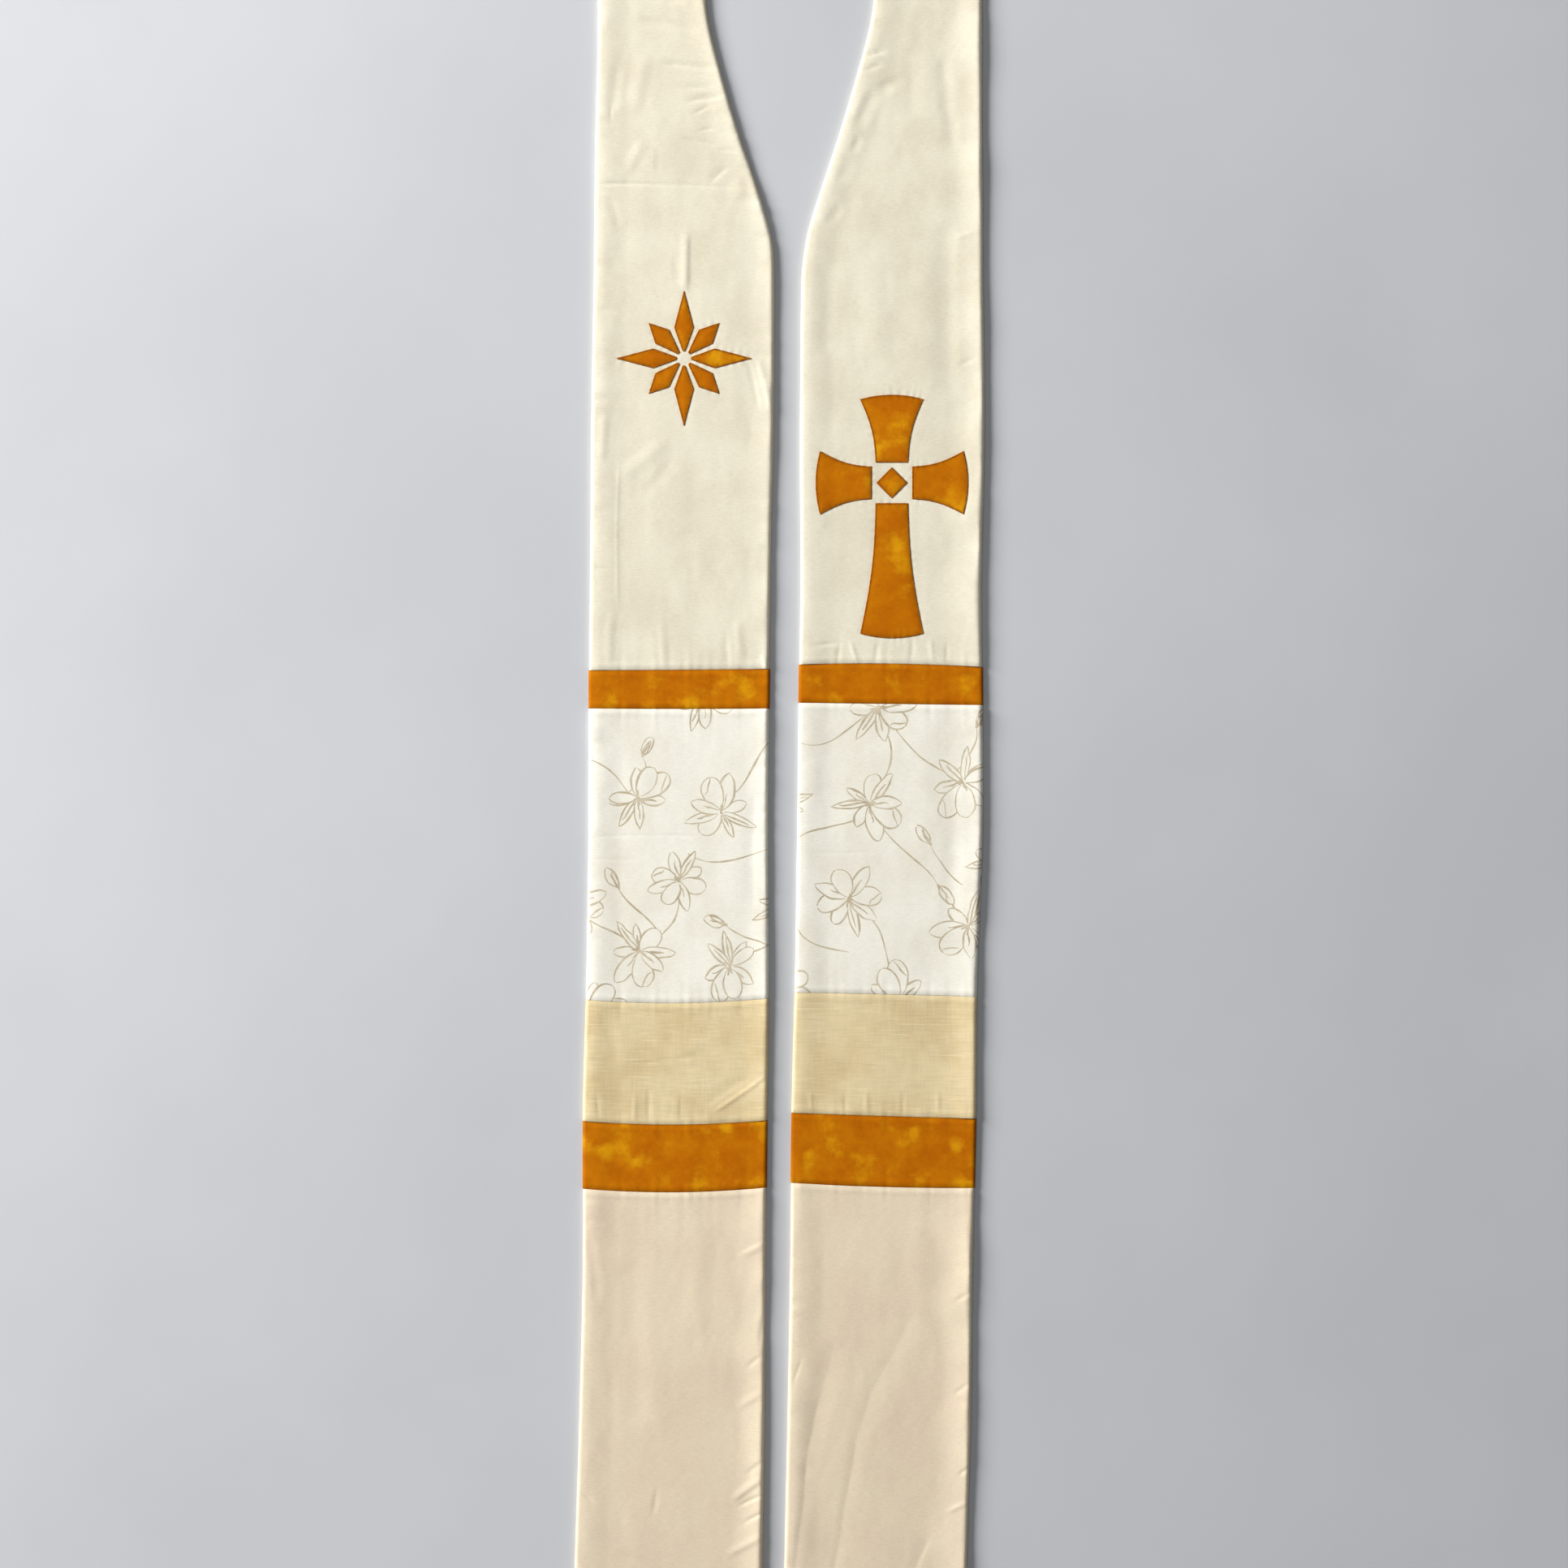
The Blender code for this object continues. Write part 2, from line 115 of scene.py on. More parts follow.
# Creases and soft folds, from one end to the other. Near and far are how far each reaches towards
# the neck or the left and away from it, rise is below zero in a trough, and sharp is 1 where the
# iron has pressed it and 0 where it is soft
Crease = namedtuple("Crease", "x0 down0 x1 down1 near far rise sharp")
LEFT_CREASES = [Crease(*row) for row in (
    (-118, 8, -72, 18, 6, 7, -0.4, 0.2),
    (-104, 30, -62, 38, 5, 6, -0.35, 0.3),
    (-88, 60, -50, 64.5, 5, 3.5, -0.42, 0.4),
    (-76, 76, -54, 77, 4, 3, -0.26, 0.4),
    (-72, 86.5, -43, 83, 5, 3, -0.4, 0.5),
    (-66, 95, -56, 90, 3, 2, -0.26, 0.9),
    (-62, 106.5, -52, 105, 3, 1.8, -0.26, 0.8),
    (-74, 112, -47, 117.5, 4, 2.4, -0.34, 0.8),
    (-51, 119, -33, 121, 5, 2.4, -0.3, 0.7),
    (-55, 142, -42, 131, 6, 3, -0.3, 0.6),
    (-130.5, 143, -90, 143.3, 3, 2.4, -0.34, 1),
    (-96, 143.2, -37, 145.5, 3, 2.4, -0.2, 0.9),
    (-131, 147, -120, 148.5, 2, 2, -0.15, 0.7),
    (-36, 138, -33, 154, 9, 6, 0.3, 0),
    (-93.5, 116, -94, 138, 12, 4, 0.16, 0.3),
    (-122.5, 88, -122.4, 100, 2.5, 2, -0.16, 0.8),
    (-70.6, 176, -71.2, 217, 5.5, 3.5, 0.42, 0.1),
    (-79, 188, -78, 214, 3, 5, -0.1, 0.2),
    (-128, 196, -95, 214, 6, 6, -0.16, 0.2),
    (-132, 228, -118, 231, 4, 3, -0.2, 0.4),
    (-118, 60, -122, 96, 7, 6, -0.24, 0.2),
    (-98, 52, -106, 92, 9, 8, 0.24, 0.1),
    (-99, 112, -113, 136, 6, 6, 0.22, 0.1),
    (-124, 150, -116, 176, 6, 5, -0.18, 0.2),
    (-116.8, 335, -117.5, 430, 2.2, 1.8, 0.13, 0.8),
    (-117, 345, -84, 318, 8, 9, 0.26, 0.1),
    (-100, 356, -78, 330, 6, 7, -0.16, 0.1),
    (-126, 296, -128.5, 334, 5, 5, 0.2, 0.1),
    (-22, 262, -12.5, 300, 3.5, 5, 0.34, 0.3),
    (-29, 262, -21, 298, 4, 3, -0.18, 0.3),
    (-136, 405, -121, 406.5, 3, 1.5, -0.2, 0.9),
    (-137, 366, -124, 368, 4, 3, -0.16, 0.4),
    (-122, 436, -124, 474, 5, 5, 0.2, 0.1),
    (-88, 440, -86, 474, 4.5, 5, 0.2, 0.1),
    (-36, 440, -33, 474, 5, 5, 0.22, 0.1),
    (-44, 448, -42.5, 474, 4, 4, -0.18, 0.2),
    (-19, 466, -15.5, 474.5, 2, 3.5, 0.45, 0.3),
    (-75, 380, -60, 436, 13, 12, -0.16, 0),
    (-136.5, 589, -62, 588.5, 2.2, 1.8, -0.13, 1),
    (-136.5, 604, -102, 604.5, 2, 1.8, -0.11, 1),
    (-24, 560, -26, 640, 8, 5, -0.2, 0.1),
    (-16, 752, -52, 777, 3, 2.6, 0.36, 0.7),
    (-24, 750, -58, 772, 8, 4, -0.2, 0.2),
    (-60, 738, -104, 744, 3, 3, -0.13, 0.7),
    (-38, 724, -86, 738, 8, 8, 0.14, 0.1),
    (-128, 708, -118, 740, 7, 7, -0.18, 0.1),
    (-132.5, 764, -130.5, 783, 2.6, 3, -0.22, 0.3),
    (-106, 764, -106.5, 784, 2.4, 3, 0.22, 0.3),
    (-96.5, 760, -97, 784, 2.8, 3, -0.22, 0.3),
    (-75, 764, -75, 785, 2.4, 3, -0.2, 0.3),
    (-142, 1037, -134.5, 1043.5, 2.2, 2.6, -0.3, 0.8),
    (-91, 1034, -94, 1054, 3, 3.5, -0.2, 0.2),
    (-20.5, 944, -29, 951, 3, 3, -0.24, 0.5),
    (-18.5, 1015, -30, 1024.5, 3, 4, -0.26, 0.4),
    (-17.5, 1026, -40, 1043, 5, 3.5, 0.42, 0.2),
    (-17.5, 1038, -36, 1047, 3, 1.8, -0.4, 0.7),
    (-17.5, 1050, -32, 1058, 3, 2, -0.4, 0.7),
    (-18, 1066, -44, 1080, 5, 4, 0.32, 0.3),
    (-16, 880, -24, 905, 9, 7, 0.28, 0),
    (-17, 866, -34, 875, 3, 5, 0.34, 0.3),
    (-18, 914, -20.5, 938, 3.5, 3, -0.32, 0.3),
    (-18, 968, -36, 979, 5, 4, 0.26, 0.2),
    (-137, 860, -132, 905, 5, 6, -0.22, 0.1),
    (-60, 850, -64, 930, 15, 12, 0.2, 0),
    (-110, 880, -104, 990, 13, 13, -0.2, 0),
    (-118, 1078, -66, 1102, 9, 4, -0.22, 0.5),
    (-104, 1112, -92, 1154, 5, 5, 0.24, 0.2),
    (-52, 1108, -48, 1154, 4, 5, -0.22, 0.2),
)]
RIGHT_CREASES = [Crease(*row) for row in (
    (66, 12, 104, 22, 7, 6, -0.3, 0.2),
    (50, 55.8, 66, 52.6, 5, 2.4, -0.36, 0.5),
    (51, 65.4, 63, 61, 4, 2.6, -0.26, 0.4),
    (78, 71, 57, 79, 6, 8, -0.34, 0.1),
    (58, 78, 45, 106, 6.5, 8, -0.4, 0.1),
    (47.5, 110, 42.5, 121, 4.5, 5, -0.26, 0.1),
    (104, 54, 107, 94, 8, 8, -0.28, 0.2),
    (106.5, 86, 111.5, 120, 8, 8, -0.3, 0.2),
    (83, 46, 83.5, 98, 14, 12, -0.26, 0.3),
    (41, 124, 33, 144, 6, 7, -0.22, 0),
    (35, 156, 25, 172, 6, 6, -0.24, 0.1),
    (107, 170, 108.5, 290, 15, 9, -0.3, 0),
    (26, 196, 24, 262, 11, 8, -0.16, 0),
    (54, 190, 60, 262, 12, 12, 0.18, 0),
    (126, 176, 114, 179, 3, 4, 0.22, 0.3),
    (127, 262, 116, 266, 4, 3, -0.2, 0.4),
    (14, 458.5, 36, 456.5, 3, 2, -0.26, 0.6),
    (41, 455, 46, 470, 2.4, 3, 0.3, 0.5),
    (34, 456, 32, 471, 3, 3, -0.2, 0.3),
    (60, 456, 58, 471, 3, 3, -0.22, 0.3),
    (96, 452, 97, 471, 3.5, 3, 0.24, 0.3),
    (107, 456, 106.5, 471, 2.5, 3, -0.2, 0.3),
    (84, 452, 82.5, 471, 3, 3, -0.2, 0.3),
    (14, 600, 60, 599.5, 2, 1.8, -0.12, 1),
    (112, 540, 110.5, 650, 10, 8, -0.2, 0.1),
    (20, 735, 58, 748, 8, 8, 0.14, 0.1),
    (88, 726, 112, 748, 8, 8, -0.16, 0.1),
    (14, 762, 15, 779, 2.6, 3, 0.22, 0.3),
    (37, 764, 38, 780, 2.4, 3, -0.22, 0.3),
    (52, 762, 53, 780, 2.8, 3, 0.22, 0.3),
    (77, 764, 77, 781, 2.4, 3, -0.22, 0.3),
    (101, 762, 101.5, 781, 2.8, 3, 0.2, 0.3),
    (8.4, 945, 2, 963, 2.5, 2, -0.26, 0.8),
    (30.5, 934, 17.5, 983, 12, 12, -0.3, 0.5),
    (19.5, 974, 12.5, 1008, 10, 12, -0.42, 0.7),
    (13.4, 1000, 10, 1028, 7, 10, -0.3, 0.8),
    (11, 1016, 7, 1062, 5, 8, -0.26, 0.8),
    (7.2, 1056, 2, 1104, 4, 6, -0.22, 0.6),
    (86, 912, 66.5, 950, 9, 14, -0.15, 0.8),
    (69, 944, 54, 972, 9, 14, -0.17, 0.8),
    (56, 967, 44.5, 1003, 8, 12, -0.18, 0.8),
    (45.7, 998, 37, 1048, 6, 9, -0.22, 0.8),
    (37.8, 1042, 26, 1110, 5, 8, -0.18, 0.7),
    (123, 1019.5, 115.5, 1024.5, 3, 2, -0.34, 0.6),
    (123, 900, 113, 906, 3, 3, -0.28, 0.4),
    (122, 962, 112, 970, 3, 3, -0.26, 0.4),
    (120, 1044, 108, 1050, 3, 3, 0.28, 0.3),
    (88, 850, 92, 940, 14, 14, 0.2, 0),
    (96, 1066, 70, 1120, 9, 3, -0.2, 0.6),
    (60, 1112, 64, 1151, 4, 5, 0.24, 0.2),
)]


def smooth_through(rows, column, downs):
    """The smooth curve through one column of a table, level at the shoulder line."""
    at = np.array([row.down for row in rows])
    values = np.array([getattr(row, column) for row in rows])
    slopes = np.zeros(len(rows))
    slopes[1:-1] = (values[2:] - values[:-2]) / (at[2:] - at[:-2])
    slopes[-1] = (values[-1] - values[-2]) / (at[-1] - at[-2])
    k = np.clip(np.searchsorted(at, downs) - 1, 0, len(rows) - 2)
    span = at[k + 1] - at[k]
    t = (downs - at[k]) / span
    return (
        (2 * t**3 - 3 * t**2 + 1) * values[k]
        + (t**3 - 2 * t**2 + t) * span * slopes[k]
        + (3 * t**2 - 2 * t**3) * values[k + 1]
        + (t**3 - t**2) * span * slopes[k + 1]
    )


Band = namedtuple("Band", "word side downs outer inner outer_lean inner_lean seams creases")


def make_band(word, side, rows, seams, creases):
    """One half of the stole, with both edges at every millimetre down and the cosines of their lean."""
    downs = np.arange(0.0, rows[-1].down + 2.0)
    outer, inner = (smooth_through(rows, column, downs) for column in ("outer", "inner"))
    lean = [1 / np.hypot(1, np.gradient(edge)) for edge in (outer, inner)]
    return Band(word, side, downs, outer, inner, *lean, seams, creases)


BANDS = (
    make_band("left", -1, LEFT_EDGES, LEFT_SEAMS, LEFT_CREASES),
    make_band("right", 1, RIGHT_EDGES, RIGHT_SEAMS, RIGHT_CREASES),
)
NECK_OUTER = ARCH_OFFSET + LEFT_EDGES[0].outer
NECK_INNER = ARCH_OFFSET + LEFT_EDGES[0].inner


def seam_at(seam, u):
    """How far down a seam lies, u of the way from the outer edge to the inner edge."""
    return seam.outer * (2 * u - 1) * (u - 1) + seam.middle * 4 * u * (1 - u) + seam.inner * u * (2 * u - 1)


def panel_gaps(band, k, proud, x, y):
    """How far points lie in from a panel's outer and inner edges and its seams above and below."""

    def along_band(column):
        return np.interp(-y, band.downs, column)

    outer = (along_band(band.outer) - band.side * x) * along_band(band.outer_lean)
    inner = (band.side * x - along_band(band.inner)) * along_band(band.inner_lean)
    around = np.hypot(band.side * x + ARCH_OFFSET, y)
    outer = np.where(y > 0, NECK_OUTER - around, outer) + proud
    inner = np.where(y > 0, around - NECK_INNER, inner) + proud
    u = np.clip(outer / np.maximum(outer + inner, 1e-6), 0, 1)
    if k == 0:
        above = np.where(y > 0, band.side * x, 1e3)
    else:
        above = -y - seam_at(band.seams[k - 1], u)
    below = seam_at(band.seams[k], u) + y
    return outer, inner, above - SEAM_GAP / 2, below - SEAM_GAP / 2


def panel_outline(band, k, proud):
    """A panel's cut edge as seen from above, anticlockwise, with a point every EDGE_STEP."""

    def across_seam(seam, shift):
        u = np.linspace(0, 1, 110)
        down = seam_at(seam, u) + shift
        outer = np.interp(down, band.downs, band.outer) + proud
        inner = np.interp(down, band.downs, band.inner) - proud
        return np.column_stack((band.side * (outer + (inner - outer) * u), -down))

    def down_edge(edge, shift, start, end):
        downs = np.arange(start + EDGE_STEP / 2, end - EDGE_STEP / 2, EDGE_STEP)
        x = np.interp(downs, band.downs, edge) + shift
        return np.column_stack((band.side * x, -downs))

    def round_neck(radius):
        top = math.acos((ARCH_OFFSET + SEAM_GAP / 2) / radius)
        turn = np.linspace(top, 0, int(radius * top / EDGE_STEP))
        return np.column_stack((band.side * (radius * np.cos(turn) - ARCH_OFFSET), radius * np.sin(turn)))

    below = across_seam(band.seams[k], -SEAM_GAP / 2)
    if k == 0:
        outside, inside = round_neck(NECK_OUTER), round_neck(NECK_INNER)
        back = np.linspace(inside[0], outside[0], int((NECK_OUTER - NECK_INNER) / EDGE_STEP))[1:-1]
        start, above = (0.0, 0.0), [back, outside]
    else:
        above = [across_seam(band.seams[k - 1], SEAM_GAP / 2)[::-1]]
        start = (-above[0][-1][1], -above[0][0][1])
        inside = np.empty((0, 2))
    outer_edge = down_edge(band.outer, proud, start[0], -below[0][1])
    inner_edge = down_edge(band.inner, -proud, start[1], -below[-1][1])
    outline = np.vstack([*above, outer_edge, below, inner_edge[::-1], inside[::-1]])
    return anticlockwise(outline)


def flat_area(outline):
    """The signed area inside an outline, in square millimetres."""
    x, y = outline.T
    return 0.5 * float(np.sum(x * np.roll(y, -1) - np.roll(x, -1) * y))


def anticlockwise(outline):
    return outline if flat_area(outline) > 0 else outline[::-1]


def ease(value, low, high):
    """0 below low, 1 above high, and a smooth step between."""
    share = np.clip((value - low) / (high - low), 0, 1)
    return share * share * (3 - 2 * share)


def drift(x, y, size, stretch, seed):
    """Smooth chance heights from -1 to 1, with cells of one size across and a stretched one down."""
    cells = 64
    chance = np.random.default_rng(seed).uniform(-1, 1, (cells, cells))
    across, down = x / size, y / (size * stretch)
    i, j = np.floor(across).astype(int), np.floor(down).astype(int)
    u, v = ease(across - i, 0, 1), ease(down - j, 0, 1)
    near, far = (
        chance[a % cells, j % cells] * (1 - v) + chance[a % cells, (j + 1) % cells] * v for a in (i, i + 1)
    )
    return near * (1 - u) + far * u


# The star and the cross are sewn on with satin stitch, which draws the cotton up in small puckers
STAR_X, STAR_DOWN = -72.5, 262.0
STAR_POINTS = 8
STAR_ROOT, STAR_WIDEST = 5.0, 21.0
STAR_LONG, STAR_SHORT = 46.0, 34.0
STAR_ROOT_HALF_WIDTH, STAR_HALF_WIDTH = 0.8, 6.6
CROSS_X, CROSS_DOWN = 69.5, 347.0
ARM_ROOT, ARM_ROOT_HALF, ARM_END_HALF = 14.0, 11.0, 21.5
ARM_WAIST, ARM_END_BOW = 2.6, 3.0
CROSS_CENTRE = 10.5
Arm = namedtuple("Arm", "name length turn")
ARMS = (
    Arm("cross_arm_top", 60.0, 0.0),
    Arm("cross_arm_left", 52.0, 90.0),
    Arm("cross_arm_foot", 106.0, 180.0),
    Arm("cross_arm_right", 52.0, 270.0),
)


def placed(outline, centre, turn):
    """An outline turned about its own zero and moved to its place, with its sides divided finely."""
    a = math.radians(turn)
    points = np.array(outline) @ np.array([[math.cos(a), math.sin(a)], [-math.sin(a), math.cos(a)]])
    points = points + np.array(centre)
    fine = []
    for here, after in zip(points, np.roll(points, -1, axis=0)):
        steps = max(1, round(float(np.hypot(*(after - here))) / EDGE_STEP))
        fine.extend(here + (after - here) * i / steps for i in range(steps))
    return anticlockwise(np.array(fine))


def star_point(length):
    """A lozenge from its blunt root near the star's centre to its tip."""
    root, half = STAR_ROOT_HALF_WIDTH, STAR_HALF_WIDTH
    return [(-root, STAR_ROOT), (root, STAR_ROOT), (half, STAR_WIDEST), (0, length), (-half, STAR_WIDEST)]


def cross_arm(length):
    """A flared arm with hollow sides and a bowed end, from its root near the cross's centre."""
    t = np.linspace(0, 1, 13)
    end = length - ARM_END_BOW
    half = ARM_ROOT_HALF + (ARM_END_HALF - ARM_ROOT_HALF) * t - ARM_WAIST * np.sin(math.pi * t)
    side = np.column_stack((half, ARM_ROOT + (end - ARM_ROOT) * t))
    s = np.linspace(1, -1, 15)[1:-1]
    cap = np.column_stack((ARM_END_HALF * s, end + ARM_END_BOW * (1 - s * s)))
    return np.vstack((side, cap, side[::-1] * (-1, 1)))


PATCHES = {"left": {}, "right": {}}
for number in range(STAR_POINTS):
    reach = STAR_SHORT if number % 2 else STAR_LONG
    PATCHES["left"][f"star_point_{number + 1}"] = placed(
        star_point(reach), (STAR_X, -STAR_DOWN), 360.0 * number / STAR_POINTS
    )
corner = CROSS_CENTRE
PATCHES["right"]["cross_centre"] = placed(
    [(0, -corner), (corner, 0), (0, corner), (-corner, 0)], (CROSS_X, -CROSS_DOWN), 0.0
)
for arm in ARMS:
    PATCHES["right"][arm.name] = placed(cross_arm(arm.length), (CROSS_X, -CROSS_DOWN), arm.turn)


def from_outline(outline, x, y):
    """The distance of points from an outline, and how far round it their nearest point lies."""
    best, around, run = np.full(len(x), 1e9), np.zeros(len(x)), 0.0
    for here, after in zip(outline, np.roll(outline, -1, axis=0)):
        side = after - here
        length = float(np.hypot(*side))
        t = np.clip(((x - here[0]) * side[0] + (y - here[1]) * side[1]) / length**2, 0, 1)
        away = np.hypot(x - here[0] - side[0] * t, y - here[1] - side[1] * t)
        nearer = away < best
        best = np.where(nearer, away, best)
        around = np.where(nearer, run + length * t, around)
        run += length
    return best, around


PUCKER_REACH = 9.0
PUCKER_LENGTH = 5.6
PUCKER_RISE, PUCKER_FADE = 0.1, 2.8
STITCH_PULL, PULL_REACH = 0.08, 1.1


def patch_puckers(word, x, y):
    """What the satin stitches add to the cotton's height round each patch."""
    lift = np.zeros(len(x))
    for seed, outline in enumerate(PATCHES[word].values()):
        low, high = outline.min(axis=0) - PUCKER_REACH, outline.max(axis=0) + PUCKER_REACH
        near = np.flatnonzero((x > low[0]) & (x < high[0]) & (y > low[1]) & (y < high[1]))
        if not len(near):
            continue
        away, around = from_outline(outline, x[near], y[near])
        phase = 2 * math.pi * around / PUCKER_LENGTH + 4.5 * drift(around, away * 0, 11.0, 1.0, 90 + seed)
        strength = ease(drift(around, away * 0, 15.0, 1.0, 70 + seed), -0.4, 0.7)
        lift[near] += PUCKER_RISE * strength * np.sin(phase) * np.exp(-away / PUCKER_FADE)
        lift[near] -= STITCH_PULL * np.exp(-((away / PULL_REACH) ** 2))
    return lift


LEFT_RIDGE, LEFT_CREST, LEFT_REACH = 0.55, 7.0, 24.0
RIGHT_CREST = 4.0
RIGHT_RIDGE, RIGHT_REACH = {"left": 1.28, "right": 1.85}, {"left": 19.0, "right": 27.0}
ROLL, ROLL_FOOT = 2.0, 0.45
SEAM_DIP, SEAM_DIP_REACH = 0.45, 1.25
SEAM_SWELL, SWELL_FROM_SEAM, SWELL_REACH = 0.16, 3.2, 1.8
EDGE_PUCKER, EDGE_PUCKER_REACH = 0.3, 8.0
GATHER_RISE, GATHER_REACH = 0.13, 7.0
RIDGE_WANDER = 0.22
PADDING, PADDING_VARIES = 0.95, 0.4
CREASE_BOW, CREASE_END = 0.012, 9.0
Layer = namedtuple("Layer", "rise size stretch seed")
UNEVENNESS = (Layer(0.17, 31.0, 2.2, 11), Layer(0.08, 13.0, 2.6, 12), Layer(0.035, 5.5, 2.0, 13))


def crease_lift(crease, x, y):
    """What one crease adds to the height of the cloth."""
    run = np.array((crease.x1 - crease.x0, crease.down0 - crease.down1))
    length = float(np.hypot(*run))
    along = ((x - crease.x0) * run[0] + (y + crease.down0) * run[1]) / length
    across = ((x - crease.x0) * run[1] - (y + crease.down0) * run[0]) / length
    across -= CREASE_BOW * length * math.sin(crease.down0) * np.sin(math.pi * np.clip(along / length, 0, 1))
    if run[1] + 0.7 * run[0] < 0:
        across = -across
    inside = 1 - np.abs(across) / np.where(across < 0, crease.near, crease.far)
    inside = np.clip(inside, 0, 1)
    ends = ease(np.minimum(along, length - along), -2.5, min(CREASE_END, 0.4 * length))
    return crease.rise * ends * (crease.sharp * inside**2 + (1 - crease.sharp) * ease(inside, 0, 1))


def edge_wander(band, x, y):
    """How the width of the strip inside a band's right edge wanders on the way down, from -1 to 1."""
    return drift(x * 0, y, 26.0, 1.0, 4 + band.side)


def cloth_height(band, x, y, gaps, hemmed, plump=1.0):
    """The height of a panel's face: plump over its turned edges, dipped at its seams, and creased."""
    outer, inner, above, below = gaps
    free = np.minimum(outer, inner)
    seam = np.minimum(above, below)
    if hemmed:
        free, seam = np.minimum(free, below), above
    left, right = (outer, inner) if band.side < 0 else (inner, outer)
    right = right * (1 + RIDGE_WANDER * edge_wander(band, x, y))
    padding = LEFT_RIDGE * ease(left, -3.0, LEFT_CREST) * (1 - ease(left, LEFT_CREST, LEFT_REACH))
    flank = (1 - np.clip(right / RIGHT_REACH[band.word], 0, 1)) ** 2
    padding += RIGHT_RIDGE[band.word] * ease(right, -3.0, RIGHT_CREST) * flank
    height = WALL + plump * padding * (PADDING + PADDING_VARIES * drift(x, y, 24.0, 1.1, 3))
    for layer in UNEVENNESS:
        height += layer.rise * drift(x, y, layer.size, layer.stretch, layer.seed)
    for crease in band.creases:
        height += crease_lift(crease, x, y)
    uneven = ease(drift(x * 0, y, 38.0, 1.0, 16 + band.side), -0.3, 0.7)
    puckers = EDGE_PUCKER * (0.25 + 0.75 * uneven) * drift(x, y, 17.0, 0.3, 15)
    height += puckers * np.exp(-np.minimum(outer, inner) / EDGE_PUCKER_REACH)
    gathers = drift(x, x * 0, 3.3, 1.0, 21) + 0.6 * drift(x, x * 0, 7.5, 1.0, 22)
    height += GATHER_RISE * gathers * np.exp(-np.maximum(seam, 0) / GATHER_REACH)
    height += SEAM_SWELL * np.exp(-(((seam - SWELL_FROM_SEAM) / SWELL_REACH) ** 2))
    height -= SEAM_DIP * np.exp(-np.maximum(seam, 0) / SEAM_DIP_REACH)
    height += patch_puckers(band.word, x, y)
    rounded = np.sqrt(1 - (1 - np.clip(free / ROLL, 0, 1)) ** 2)
    return ROLL_FOOT * WALL + (height - ROLL_FOOT * WALL) * rounded


def offset(loop, inset):
    """A closed line of points moved to its left by inset, which may differ from point to point."""
    before, after = loop - np.roll(loop, 1, axis=0), np.roll(loop, -1, axis=0) - loop
    before, after = (side / np.maximum(np.hypot(*side.T), 1e-9)[:, None] for side in (before, after))
    mean = before + after
    mean /= np.maximum(np.hypot(*mean.T), 1e-9)[:, None]
    return loop + np.column_stack((-mean[:, 1], mean[:, 0])) * np.reshape(inset, (-1, 1))


def triangles_in(points, faces):
    """Flat triangles over the first face, the highest face that each lies in, and each point's source."""
    corners = [Vector(p) for p in points]
    flat, _, made, came_from, _, lies_in = delaunay_2d_cdt(corners, [], faces, 1, 1e-5, True)
    inside = [k for k, within in enumerate(lies_in) if within and min(within) == 0]
    used, triangles = np.unique(np.array([made[k] for k in inside]), return_inverse=True)
    return (
        np.array([tuple(flat[k]) for k in used]),
        triangles.reshape(-1, 3),
        np.array([max(lies_in[k]) for k in inside]),
        np.array([came_from[k][0] if came_from[k] else -1 for k in used]),
    )


def edge_loop(triangles):
    """The vertices round the outside of some triangles, in order."""
    directed = np.vstack([triangles[:, (0, 1)], triangles[:, (1, 2)], triangles[:, (2, 0)]])
    size = int(triangles.max()) + 1
    alone = ~np.isin(directed[:, 0] * size + directed[:, 1], directed[:, 1] * size + directed[:, 0])
    follow = dict(map(tuple, directed[alone]))
    start = next(iter(follow))
    loop, here = [start], follow[start]
    while here != start:
        loop.append(here)
        here = follow[here]
    return np.array(loop)


def in_metres(points):
    """Places in the CAD's frame, of points in millimetres from the middle of the shoulder line."""
    return (points * MM + np.array((MIDDLE_X, SHOULDER_Y, 0)) * MM).tolist()


def put_in_scene(name, data):
    """An object for a mesh, a lamp or the camera, linked to the scene."""
    made = bpy.data.objects.new(name, data)
    bpy.context.scene.collection.objects.link(made)
    return made


def close_cloth(name, flat, triangles, top, bottom, feet, material):
    """A closed piece of cloth: a face of triangles, a side wall with one soft bend, and a flat back.

    top and bottom are heights, at the face's vertices and of the back, and feet is how far the back
    is drawn in at each of the loop's points.
    """
    loop = edge_loop(triangles)
    count, n = len(flat), len(loop)
    ring = flat[loop]
    low = bottom if np.ndim(bottom) == 0 else bottom[loop]
    face = np.column_stack((flat, top))
    waist = np.column_stack((offset(ring, feet * 0.25), low + 0.4 * (top[loop] - low)))
    foot_flat = offset(ring, feet)
    foot = np.column_stack((foot_flat, np.broadcast_to(low, n)))
    _, back, _, place = triangles_in(foot_flat, [list(range(n))])
    i, j = np.arange(n), np.roll(np.arange(n), -1)
    walls = np.vstack([
        np.column_stack((loop, count + i, count + j, loop[j])),
        np.column_stack((count + i, count + n + i, count + n + j, count + j)),
    ])
    mesh = bpy.data.meshes.new(name)
    points = in_metres(np.vstack((face, waist, foot)))
    backs = (place[back] + count + n)[:, ::-1]
    mesh.from_pydata(points, [], triangles.tolist() + walls.tolist() + backs.tolist())
    smooth = np.ones(len(mesh.polygons), bool)
    smooth[len(triangles) + len(walls):] = False
    mesh.polygons.foreach_set("use_smooth", smooth)
    mesh.materials.append(material)
    return put_in_scene(name, mesh)


